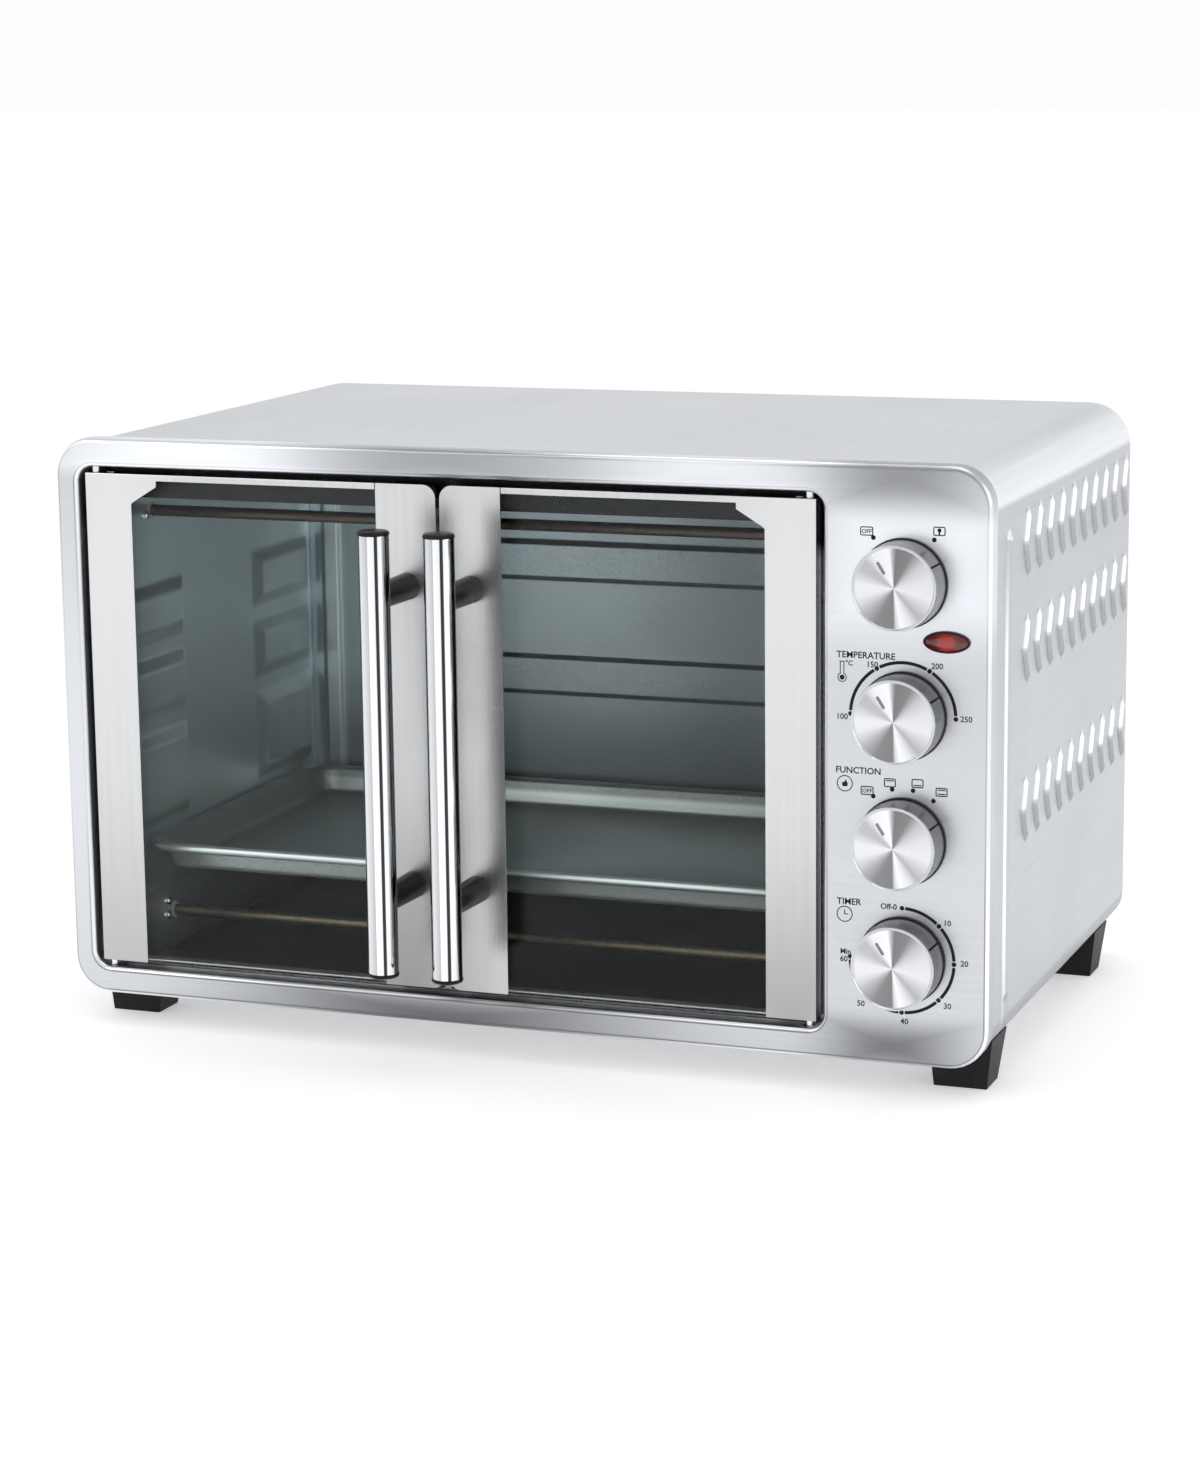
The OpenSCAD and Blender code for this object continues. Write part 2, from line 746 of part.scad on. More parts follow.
// Threaded bush and blind bore that every control has; children are its housing.
module control(z, tone) {
    color(tone) placed() difference() {
        union() {
            rod_y(knob_x, z, sheet, control_y, 5);
            translate([knob_x, control_y, z]) children();
        }
        rod_y(knob_x, z, 0, shaft_end + 1, shaft_r + run_gap);
    }
}

// Housing centred on its shaft, with its front face at y = 0.
module housing(w, d, h) {
    translate([-w / 2, 0, -h / 2]) cube([w, d, h]);
}

module light_switch() {
    control(light_z, [0.12, 0.12, 0.12]) {
        housing(28, 22, 28);
        for (x = [-7, 7]) translate([x - 3, 22, -0.5]) cube([6, 8, 1]);
    }
}

module thermostat() {
    control(temperature_z, [0.6, 0.58, 0.52]) {
        housing(44, 28, 34);
        for (x = [-12, 12]) translate([x - 3, 28, -0.5]) cube([6, 8, 1]);
    }
    color([0.72, 0.45, 0.3]) placed() {
        rod_y(capillary_x, temperature_z + 10, control_y + 26, sensor_y, 1);
        translate([capillary_x, sensor_y, temperature_z + 10]) sphere(1);
        rod_z(capillary_x, sensor_y, temperature_z + 10, sensor_z, 1);
        translate([capillary_x, sensor_y, sensor_z]) sphere(1);
        rod_x(sensor_y, sensor_z, cavity_r - 5, capillary_x, 1);
        rod_y(cavity_r - 5, sensor_z, sensor_y - 90, sensor_y + 4, 2.6);
    }
}

module function_switch() {
    control(function_z, [0.85, 0.83, 0.78]) {
        translate([0, 26, 0]) rotate([90, 0, 0]) cylinder(r = 20, h = 26);
        for (x = [-10, 0, 10]) translate([x - 3, 26, -0.5]) cube([6, 8, 1]);
    }
}

module timer() {
    control(timer_z, [0.75, 0.72, 0.6]) {
        housing(54, 30, 54);
        translate([0, 42, 0]) rotate([90, 0, 0]) cylinder(r = 22, h = 12);
    }
}

module control_bracket() {
    color([0.6, 0.62, 0.63]) placed() difference() {
        union() {
            slab(bracket_y, 1.2) round_rect(knob_x - 38, knob_x + 38, 22, 300, 6);
            for (z = [22, 299]) block([knob_x - 30, sheet, z], [knob_x + 30, bracket_y + 1, z + 1]);
        }
        for (z = knob_z) rod_y(knob_x, z, bracket_y - 1, bracket_y + 3, 5.1);
        slab(bracket_y - 1, 4) translate([lens_x, lens_z]) slot(24, 10);
    }
}

module pilot_lens() {
    color([0.75, 0.05, 0.04]) placed() {
        slab(-2.6, 2.6) translate([lens_x, lens_z]) oval(25.6, 11.8);
        slab(0, bracket_y - 1) translate([lens_x, lens_z]) slot(21, 7);
    }
}

module terminal_block() {
    color([0.9, 0.9, 0.86]) placed() difference() {
        block([205, 285, 2], [250, 305, 22]);
        for (x = [212.5, 227.5, 242.5]) {
            rod_z(x, 290, 12, 23, 2.5);
            rod_z(x, 300, 12, 23, 2.5);
        }
    }
}

// Wire in straight runs: back from a control, down, and on to the terminal block.
module wire(x, z, y0, y_turn, x_end) {
    r = 1.3;
    rod_y(x, z, y0, y_turn, r);
    translate([x, y_turn, z]) sphere(r);
    rod_z(x, y_turn, 28, z, r);
    translate([x, y_turn, 28]) sphere(r);
    rod_x(y_turn, 28, min(x, x_end), max(x, x_end), r);
    translate([x_end, y_turn, 28]) sphere(r);
    rod_y(x_end, 28, y_turn, 290, r);
    translate([x_end, 290, 28]) sphere(r);
    rod_z(x_end, 290, 14, 28, r);
}

module wiring() {
    color([0.75, 0.72, 0.66]) placed() {
        wire(knob_x - 7, light_z + 1.9, control_y + 30, 70, 212.5);
        wire(knob_x + 12, temperature_z + 1.9, control_y + 36, 90, 227.5);
        wire(knob_x + 10 - 6, function_z + 1.9, control_y + 34, 110, 242.5);
    }
}

// ---- the whole oven ----

front_panel();
outer_cover();
rear_cover();
base_plate();
feet();
case_screws();
rear_spacers();
cord_gland();
cavity_left_wall();
cavity_right_wall();
cavity_top();
cavity_floor();
cavity_back();
cavity_front_frame();
heat_shield();
top_elements();
bottom_elements();
element_insulators();
element_screws();
lamp_holder();
lamp_bulb();
lamp_glass();
hinge_bushes();
control_bracket();
light_switch();
thermostat();
function_switch();
timer();
pilot_lens();
terminal_block();
wiring();
bake_tray();
crumb_tray();
glass(-1);  // left_glass
hinge_stile(-1);  // left_hinge_stile
hinge_blocks(-1);  // left_hinge_blocks
hinge_pins(-1);  // left_hinge_pins
handle_plate(-1);  // left_handle_plate
handle_tube(-1);  // left_handle_tube
handle_standoffs(-1);  // left_handle_standoffs
handle_caps(-1);  // left_handle_caps
handle_screws(-1);  // left_handle_screws
glass(1);  // right_glass
hinge_stile(1);  // right_hinge_stile
hinge_blocks(1);  // right_hinge_blocks
hinge_pins(1);  // right_hinge_pins
handle_plate(1);  // right_handle_plate
handle_tube(1);  // right_handle_tube
handle_standoffs(1);  // right_handle_standoffs
handle_caps(1);  // right_handle_caps
handle_screws(1);  // right_handle_screws
knob(light_z);  // light_knob
shaft(light_z);  // light_shaft
knob(temperature_z);  // temperature_knob
shaft(temperature_z);  // temperature_shaft
knob(function_z);  // function_knob
shaft(function_z);  // function_shaft
knob(timer_z);  // timer_knob
shaft(timer_z);  // timer_shaft
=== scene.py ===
"""Visual model of a countertop toaster oven with two side-hinged glass doors.

Everything is drawn in millimetres from the lower middle of the front panel's face: x to the
right, y towards the rear, z up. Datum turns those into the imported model's frame, in metres.
"""

import logging
import math
from dataclasses import dataclass, field
from enum import Enum
from typing import Callable, Iterable, Sequence

import bmesh
import bpy
from mathutils import Matrix, Vector
from mathutils.geometry import tessellate_polygon


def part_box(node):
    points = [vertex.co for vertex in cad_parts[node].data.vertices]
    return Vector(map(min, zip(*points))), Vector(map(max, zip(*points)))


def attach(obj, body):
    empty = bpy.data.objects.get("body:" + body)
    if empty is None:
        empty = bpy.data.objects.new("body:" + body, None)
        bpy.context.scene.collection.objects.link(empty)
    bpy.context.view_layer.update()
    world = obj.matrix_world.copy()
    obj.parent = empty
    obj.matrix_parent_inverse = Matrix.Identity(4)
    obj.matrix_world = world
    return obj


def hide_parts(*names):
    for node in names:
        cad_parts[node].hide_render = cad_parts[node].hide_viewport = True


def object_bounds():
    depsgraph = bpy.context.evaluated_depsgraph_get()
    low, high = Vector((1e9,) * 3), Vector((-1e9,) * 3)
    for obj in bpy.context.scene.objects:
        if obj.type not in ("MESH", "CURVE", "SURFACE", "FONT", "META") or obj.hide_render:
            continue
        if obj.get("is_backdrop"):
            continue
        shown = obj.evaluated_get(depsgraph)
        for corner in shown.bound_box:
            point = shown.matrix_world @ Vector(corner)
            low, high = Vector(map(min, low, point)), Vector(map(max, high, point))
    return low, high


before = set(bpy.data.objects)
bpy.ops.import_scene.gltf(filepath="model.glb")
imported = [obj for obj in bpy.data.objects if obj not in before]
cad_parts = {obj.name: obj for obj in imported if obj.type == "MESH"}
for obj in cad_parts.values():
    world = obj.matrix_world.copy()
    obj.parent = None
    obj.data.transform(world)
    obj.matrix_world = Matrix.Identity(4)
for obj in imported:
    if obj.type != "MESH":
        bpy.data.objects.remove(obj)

log = logging.getLogger("toaster_oven")

MM = 0.001
Point = tuple[float, float, float]
Flat = tuple[float, float]
Colour = tuple[float, float, float]
Stops = Sequence[tuple[float, float]]
Given = bpy.types.NodeSocket | float | Sequence[float]
Masks = dict[str, bpy.types.NodeSocket]
Placing = Callable[[float, float, float], Point]


# ---- frame and outlines ----


@dataclass(frozen=True)
class Datum:
    """Where the front panel's lower middle lies in the row frame."""

    origin: Vector

    @classmethod
    def read(cls) -> "Datum":
        """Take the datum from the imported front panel."""
        low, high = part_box("front_panel")
        return cls(Vector(((low.x + high.x) / 2, low.y, low.z)))

    def world(self, point: Sequence[float]) -> Vector:
        """Turn millimetres from the datum into metres of the row frame."""
        return self.origin + Vector(point) * MM

    def box(self, node: str) -> tuple[Vector, Vector]:
        """Give a CAD node's lowest and highest corners in millimetres from the datum."""
        low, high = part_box(node)
        return (low - self.origin) / MM, (high - self.origin) / MM


def round_outline(
    low: Flat, high: Flat, radius: float, low_radius: float | None = None, steps: int = 8
) -> list[Flat]:
    """Draw a rectangle with round corners, anticlockwise from its lower right corner.

    Args:
        low: The lower left corner.
        high: The upper right corner.
        radius: Radius of the upper corners, and of the lower ones unless low_radius is given.
        low_radius: Radius of the lower corners.
        steps: Segments in each corner.

    Returns:
        The outline's points; their number depends only on steps.
    """
    lower = radius if low_radius is None else low_radius
    corners = (
        (high[0] - lower, low[1] + lower, lower, -90),
        (high[0] - radius, high[1] - radius, radius, 0),
        (low[0] + radius, high[1] - radius, radius, 90),
        (low[0] + lower, low[1] + lower, lower, 180),
    )
    points = []
    for x, z, r, start in corners:
        for i in range(steps + 1):
            angle = math.radians(start + 90 * i / steps)
            points.append((x + r * math.cos(angle), z + r * math.sin(angle)))
    return points


def circle_outline(centre: Flat, radius: float, steps: int = 48) -> list[Flat]:
    """Draw a circle.

    Args:
        centre: Its middle.
        radius: Its radius.
        steps: Number of points.

    Returns:
        The points, anticlockwise.
    """
    angles = (2 * math.pi * i / steps for i in range(steps))
    return [(centre[0] + radius * math.cos(a), centre[1] + radius * math.sin(a)) for a in angles]


def quarter(radius: float, steps: int = 5) -> list[Flat]:
    """Give a quarter round as pairs of inset and depth, from (radius, 0) to (0, radius).

    Args:
        radius: Radius of the round.
        steps: Segments in it.

    Returns:
        The pairs in order.
    """
    angles = (math.pi / 2 * i / steps for i in range(steps + 1))
    return [(radius * (1 - math.sin(a)), radius * (1 - math.cos(a))) for a in angles]


def smooth(t: float) -> float:
    """Ease a share between 0 and 1."""
    t = min(1.0, max(0.0, t))
    return t * t * (3 - 2 * t)


# ---- mesh work ----


class Side(Enum):
    """The two doors, and the two side walls."""

    LEFT = "left"
    RIGHT = "right"


@dataclass(frozen=True)
class Label:
    """What a new piece is called and what it stands for.

    Attributes:
        name: The piece's name.
        body: The CAD body that it rides on.
        slot: The frame's material slot that it belongs to. Not used.
        nodes: The CAD nodes that it replaces.
    """

    name: str
    body: str
    slot: str
    nodes: tuple[str, ...] = ()


class Work:
    """The points and faces of one piece while it is made."""

    def __init__(self, datum: Datum) -> None:
        """Start with nothing drawn.

        Args:
            datum: Where the piece's millimetres are measured from.
        """
        self.datum = datum
        self.points: list[Point] = []
        self.faces: list[tuple[int, ...]] = []

    def ring(self, points: Iterable[Point]) -> list[int]:
        """Add a row of points.

        Args:
            points: The points, in order.

        Returns:
            Their numbers.
        """
        start = len(self.points)
        self.points.extend(tuple(p) for p in points)
        return list(range(start, len(self.points)))

    def strip(self, first: Sequence[int], second: Sequence[int], closed: bool = True) -> None:
        """Join two rows of equal length with four-sided faces.

        Args:
            first: Numbers of one row.
            second: Numbers of the other.
            closed: Whether the rows are loops.
        """
        count = len(first)
        for i in range(count if closed else count - 1):
            j = (i + 1) % count
            self.faces.append((first[i], first[j], second[j], second[i]))

    def loft(self, rows: Sequence[Sequence[int]], closed: bool = True, around: bool = False) -> None:
        """Join rows one after the other.

        Args:
            rows: The rows, each a list of numbers.
            closed: Whether each row is a loop.
            around: Whether the last row joins the first.
        """
        for first, second in zip(rows, rows[1:]):
            self.strip(first, second, closed)
        if around:
            self.strip(rows[-1], rows[0], closed)

    def fill(self, rings: Sequence[Sequence[int]]) -> None:
        """Fill a flat region.

        Args:
            rings: Numbers of its outer loop, then of each hole in it.
        """
        loops = [[Vector(self.points[i]) for i in ring] for ring in rings]
        numbers = [i for ring in rings for i in ring]
        for face in tessellate_polygon(loops):
            self.faces.append(tuple(numbers[i] for i in face))

    def prism(
        self, outline: Sequence[Flat], low: float, high: float, to: Callable[[Flat, float], Point]
    ) -> None:
        """Draw a closed plate from an outline.

        Args:
            outline: The outline's points.
            low: Its first depth.
            high: Its other depth.
            to: Turns an outline point and a depth into a point.
        """
        first = self.ring(to(p, low) for p in outline)
        second = self.ring(to(p, high) for p in outline)
        self.strip(first, second)
        self.fill([first])
        self.fill([second])

    def turn(self, profile: Sequence[Flat], place: Placing, steps: int = 64) -> None:
        """Turn a closed profile about an axis.

        Args:
            profile: Pairs of radius and height; a radius of 0 at both ends closes it.
            place: Turns two cross-axis distances and a height into a point.
            steps: Segments around.
        """
        rows = []
        for radius, height in profile:
            if radius == 0:
                rows.append(self.ring([place(0, 0, height)]) * steps)
            else:
                circle = circle_outline((0, 0), radius, steps)
                rows.append(self.ring(place(x, z, height) for x, z in circle))
        for first, second in zip(rows, rows[1:]):
            for i in range(steps):
                j = (i + 1) % steps
                face = tuple(dict.fromkeys((first[i], first[j], second[j], second[i])))
                if len(face) > 2:
                    self.faces.append(face)

    def piece(
        self, label: Label, finish: "Finish", sharp: float = 35.0, thick: float = 0.0,
        facing: Point | None = None,
    ) -> bpy.types.Object:
        """Make the piece, dress it and put it on its body.

        Args:
            label: Its name, body, slot and the CAD nodes that it stands for.
            finish: Its finish.
            sharp: Edges bent more than this many degrees stay sharp.
            thick: Thickness in millimetres given to an open sheet, away from its front side.
            facing: For an open sheet, a point that its front side faces.

        Returns:
            The new object.
        """
        mesh = bpy.data.meshes.new(label.name)
        mesh.from_pydata([self.datum.world(p) for p in self.points], [], self.faces)
        edit = bmesh.new()
        edit.from_mesh(mesh)
        bmesh.ops.remove_doubles(edit, verts=edit.verts, dist=1e-6)
        bmesh.ops.dissolve_degenerate(edit, edges=edit.edges, dist=1e-7)
        bmesh.ops.recalc_face_normals(edit, faces=edit.faces)
        if facing is not None:
            largest = max(edit.faces, key=lambda f: f.calc_area())
            if largest.normal.dot(self.datum.world(facing) - largest.calc_center_median()) < 0:
                bmesh.ops.reverse_faces(edit, faces=edit.faces)
        edit.to_mesh(mesh)
        edit.free()
        mesh.shade_smooth()
        mesh.set_sharp_from_angle(angle=math.radians(sharp))
        piece = bpy.data.objects.new(label.name, mesh)
        bpy.context.scene.collection.objects.link(piece)
        if thick:
            solid = piece.modifiers.new("sheet", "SOLIDIFY")
            solid.thickness = thick * MM
            solid.offset = -1
            solid.use_even_offset = True
        weigh_normals(piece)
        piece.data.materials.append(finish.material())
        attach(piece, label.body)
        if label.nodes:
            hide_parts(*label.nodes)
        log.info("%s: %d faces, %s", label.name, len(mesh.polygons), finish.name)
        return piece


def weigh_normals(piece: bpy.types.Object) -> None:
    """Let large faces set the shading, so flat sheet stays flat beside a round edge.

    Args:
        piece: The piece whose shading it is.
    """
    weights = piece.modifiers.new("flat_faces", "WEIGHTED_NORMAL")
    weights.keep_sharp = True
    weights.weight = 80


def to_front(x: float, z: float) -> Placing:
    """Place turned work on an axis along y at (x, z), heights in front of the panel."""
    return lambda a, b, height: (x + a, -height, z + b)


def along_z(x: float, y: float) -> Placing:
    """Place turned work on an upright axis at (x, y)."""
    return lambda a, b, height: (x + a, y + b, height)


# ---- shader nodes ----


class Graph:
    """The nodes and links of one material, effect or world."""

    def __init__(self, tree: bpy.types.NodeTree) -> None:
        """Work on a node tree."""
        self.tree = tree

    def add(self, kind: str, **settings: str) -> bpy.types.Node:
        """Add a node.

        Args:
            kind: Its type.
            settings: Its properties and their values.

        Returns:
            The node.
        """
        node = self.tree.nodes.new(kind)
        for name, value in settings.items():
            setattr(node, name, value)
        return node

    def give(self, value: Given, socket: bpy.types.NodeSocket) -> None:
        """Give an input its value.

        Args:
            value: An output to link, or a number or numbers to set.
            socket: The input.
        """
        if isinstance(value, bpy.types.NodeSocket):
            self.tree.links.new(value, socket)
        else:
            socket.default_value = value

    def math(self, operation: str, first: Given, second: Given) -> bpy.types.NodeSocket:
        """Work out one number from two.

        Args:
            operation: The kind of sum.
            first: The first number.
            second: The second number.

        Returns:
            The result's output.
        """
        node = self.add("ShaderNodeMath", operation=operation)
        self.give(first, node.inputs[0])
        self.give(second, node.inputs[1])
        return node.outputs[0]

    def vector(self, operation: str, first: Given, second: Given = (0.0, 0.0, 0.0)) -> bpy.types.NodeSocket:
        """Work out one vector from two.

        Args:
            operation: The kind of sum.
            first: The first vector.
            second: The second vector, if the sum takes one.

        Returns:
            The result's output; for a length, a number's.
        """
        node = self.add("ShaderNodeVectorMath", operation=operation)
        self.give(first, node.inputs[0])
        self.give(second, node.inputs[1])
        return node.outputs["Value" if operation == "LENGTH" else "Vector"]

    def split(self, vector: bpy.types.NodeSocket) -> bpy.types.NodeOutputs:
        """Take a vector apart.

        Args:
            vector: The vector's output.

        Returns:
            Its X, Y and Z.
        """
        node = self.add("ShaderNodeSeparateXYZ")
        self.give(vector, node.inputs[0])
        return node.outputs

    def spread(
        self, value: bpy.types.NodeSocket, source: tuple[Given, Given] = (0.0, 1.0),
        target: Flat = (0.0, 1.0), shape: str = "LINEAR",
    ) -> bpy.types.NodeSocket:
        """Stretch one span of a number over another.

        Args:
            value: The number's output.
            source: The ends of its own span.
            target: What those ends become.
            shape: How the number runs between them.

        Returns:
            The new number's output.
        """
        node = self.add("ShaderNodeMapRange", interpolation_type=shape)
        self.give(value, node.inputs["Value"])
        for name, end in zip(("From Min", "From Max", "To Min", "To Max"), (*source, *target)):
            self.give(end, node.inputs[name])
        return node.outputs["Result"]

    def noise(
        self, vector: bpy.types.NodeSocket, scale: Given, detail: float, distortion: float = 0.0
    ) -> bpy.types.NodeSocket:
        """Add a noise texture.

        Args:
            vector: Its coordinates.
            scale: Its scale.
            detail: Its number of octaves.
            distortion: How far it is twisted.

        Returns:
            The texture's number, mostly between 0.25 and 0.75.
        """
        node = self.add("ShaderNodeTexNoise")
        self.give(vector, node.inputs["Vector"])
        for name, value in (("Scale", scale), ("Detail", detail), ("Distortion", distortion)):
            self.give(value, node.inputs[name])
        return node.outputs["Fac"]


# ---- shared effects ----


class Effect(Enum):
    """Surface effects that several finishes share: a name, and the inputs with their usual values."""

    GRAIN = ("brushed_grain", {"Scale X": 40.0, "Scale Y": 40.0, "Scale Z": 3000.0})
    SMUDGE = ("handling_smudges", {"Scale": 9.0})
    SPECKLE = ("coating_speckle", {"Scale": 900.0})
    DUST = ("settled_dust", {"Amount": 0.3})
    WEAR = ("edge_wear", {"Amount": 0.5})
    # Mask of the patches of painted highlight and painted shade.
    GLOW = (
        "soft_reflection",
        {
            "Centre X": 0.0, "Centre Y": 0.0, "Centre Z": 0.0,
            "Reach X": 0.1, "Reach Y": 0.1, "Reach Z": 0.1, "Soft": 1.0,
        },
    )
    LEAN = ("lean_of_surface", {})

    @property
    def title(self) -> str:
        """Name of the effect's node group."""
        return self.value[0]

    @property
    def numbers(self) -> dict[str, float]:
        """Input names and their usual values."""
        return self.value[1]


class EffectGroup(Graph):
    """One shared effect as a shader node group; each method below draws one effect's masks."""

    def __init__(self, effect: Effect) -> None:
        """Build the group.

        Args:
            effect: The effect.
        """
        super().__init__(bpy.data.node_groups.new(effect.title, "ShaderNodeTree"))
        sockets = self.tree.interface
        for name, value in effect.numbers.items():
            socket = sockets.new_socket(name, in_out="INPUT", socket_type="NodeSocketFloat")
            socket.default_value = value
        self.given = self.add("NodeGroupInput").outputs
        self.place = self.add("ShaderNodeTexCoord").outputs["Object"]
        masks = getattr(self, effect.name.lower())()
        result = self.add("NodeGroupOutput")
        for name, mask in masks.items():
            sockets.new_socket(name, in_out="OUTPUT", socket_type="NodeSocketFloat")
            self.give(mask, result.inputs[name])

    @classmethod
    def tree_of(cls, effect: Effect) -> bpy.types.ShaderNodeTree:
        """Give the group of an effect, built when first asked for."""
        return bpy.data.node_groups.get(effect.title) or cls(effect).tree

    def share(self, first: bpy.types.NodeSocket, second: bpy.types.NodeSocket) -> bpy.types.NodeSocket:
        """Multiply two masks and the group's amount."""
        return self.math("MULTIPLY", self.math("MULTIPLY", first, second), self.given["Amount"])

    def grain(self) -> Masks:
        """Draw fine lines along one axis: the scale is small along the grain and large across it.

        Returns:
            Lines for the relief, and wider streaks for the colour.
        """
        scales = self.add("ShaderNodeCombineXYZ")
        for axis in "XYZ":
            self.give(self.given["Scale " + axis], scales.inputs[axis])
        stretched = self.vector("MULTIPLY", self.place, scales.outputs[0])
        return {
            "Lines": self.spread(self.noise(stretched, 1.0, 3.0), (0.25, 0.75)),
            "Streaks": self.spread(self.noise(stretched, 0.16, 2.0), (0.25, 0.75)),
        }

    def smudge(self) -> Masks:
        """Draw soft patches left by handling and wiping.

        Returns:
            The patches.
        """
        patches = self.noise(self.place, self.given["Scale"], 4.0, 0.6)
        return {"Patches": self.spread(patches, (0.3, 0.7))}

    def speckle(self) -> Masks:
        """Draw the fine grains of a coating.

        Returns:
            The grains, and the low waves under them.
        """
        return {
            "Grains": self.spread(self.noise(self.place, self.given["Scale"], 2.0), (0.3, 0.7)),
            "Waves": self.spread(self.noise(self.place, 14.0, 2.0), (0.25, 0.75)),
        }

    def dust(self) -> Masks:
        """Draw dust that gathers in patches on faces that look up.

        Returns:
            The dust.
        """
        normal = self.add("ShaderNodeNewGeometry").outputs["Normal"]
        upward = self.spread(self.split(normal)["Z"], (0.4, 1.0))
        patches = self.spread(self.noise(self.place, 60.0, 5.0), (0.35, 0.8))
        return {"Dust": self.share(upward, patches)}

    def wear(self) -> Masks:
        """Draw rubbed outer edges, broken up by noise.

        Returns:
            The wear.
        """
        edges = self.spread(self.add("ShaderNodeNewGeometry").outputs["Pointiness"], (0.51, 0.6))
        breaks = self.spread(self.noise(self.place, 160.0, 3.0), (0.35, 0.65))
        return {"Wear": self.share(edges, breaks)}

    def glow(self) -> Masks:
        """Draw the mask of a painted light patch: a soft box that is 1 in its middle and fades to 0 at its
        sides.

        Returns:
            The box.
        """
        ends = []
        for end in ("Centre", "Reach"):
            joined = self.add("ShaderNodeCombineXYZ")
            for axis in "XYZ":
                self.give(self.given[f"{end} {axis}"], joined.inputs[axis])
            ends.append(joined.outputs[0])
        away = self.vector("DIVIDE", self.vector("SUBTRACT", self.place, ends[0]), ends[1])
        sides = self.split(self.vector("ABSOLUTE", away))
        farthest = self.math("MAXIMUM", self.math("MAXIMUM", sides["X"], sides["Y"]), sides["Z"])
        start = self.math("SUBTRACT", 1.0, self.given["Soft"])
        return {"Glow": self.spread(farthest, (1.0, start), shape="SMOOTHSTEP")}

    def lean(self) -> Masks:
        """Tell how far a surface looks up and to the front.

        Returns:
            Up and Front: 0 looks away, 0.5 stands square to it, 1 looks there.
        """
        normal = self.split(self.add("ShaderNodeNewGeometry").outputs["Normal"])
        return {
            "Up": self.spread(normal["Z"], (-1.0, 1.0)),
            "Front": self.spread(normal["Y"], (1.0, -1.0)),
        }


@dataclass(frozen=True)
class Glow:
    """A soft patch of painted light on one place of a piece: a painted highlight where its tone is above 1,
    painted shade where it is below 1.

    Attributes:
        centre: Its middle, from the panel's lower middle in millimetres.
        reach: Half its size along each axis.
        tone: Tone in its middle, as a share of the finish's colour.
        soft: Share of its reach over which it fades.
    """

    centre: Point
    reach: Point
    tone: float
    soft: float = 1.0


# ---- materials ----


def shade(colour: Colour, factor: float) -> Colour:
    """Make a colour darker or lighter."""
    return tuple(min(1.0, c * factor) for c in colour)


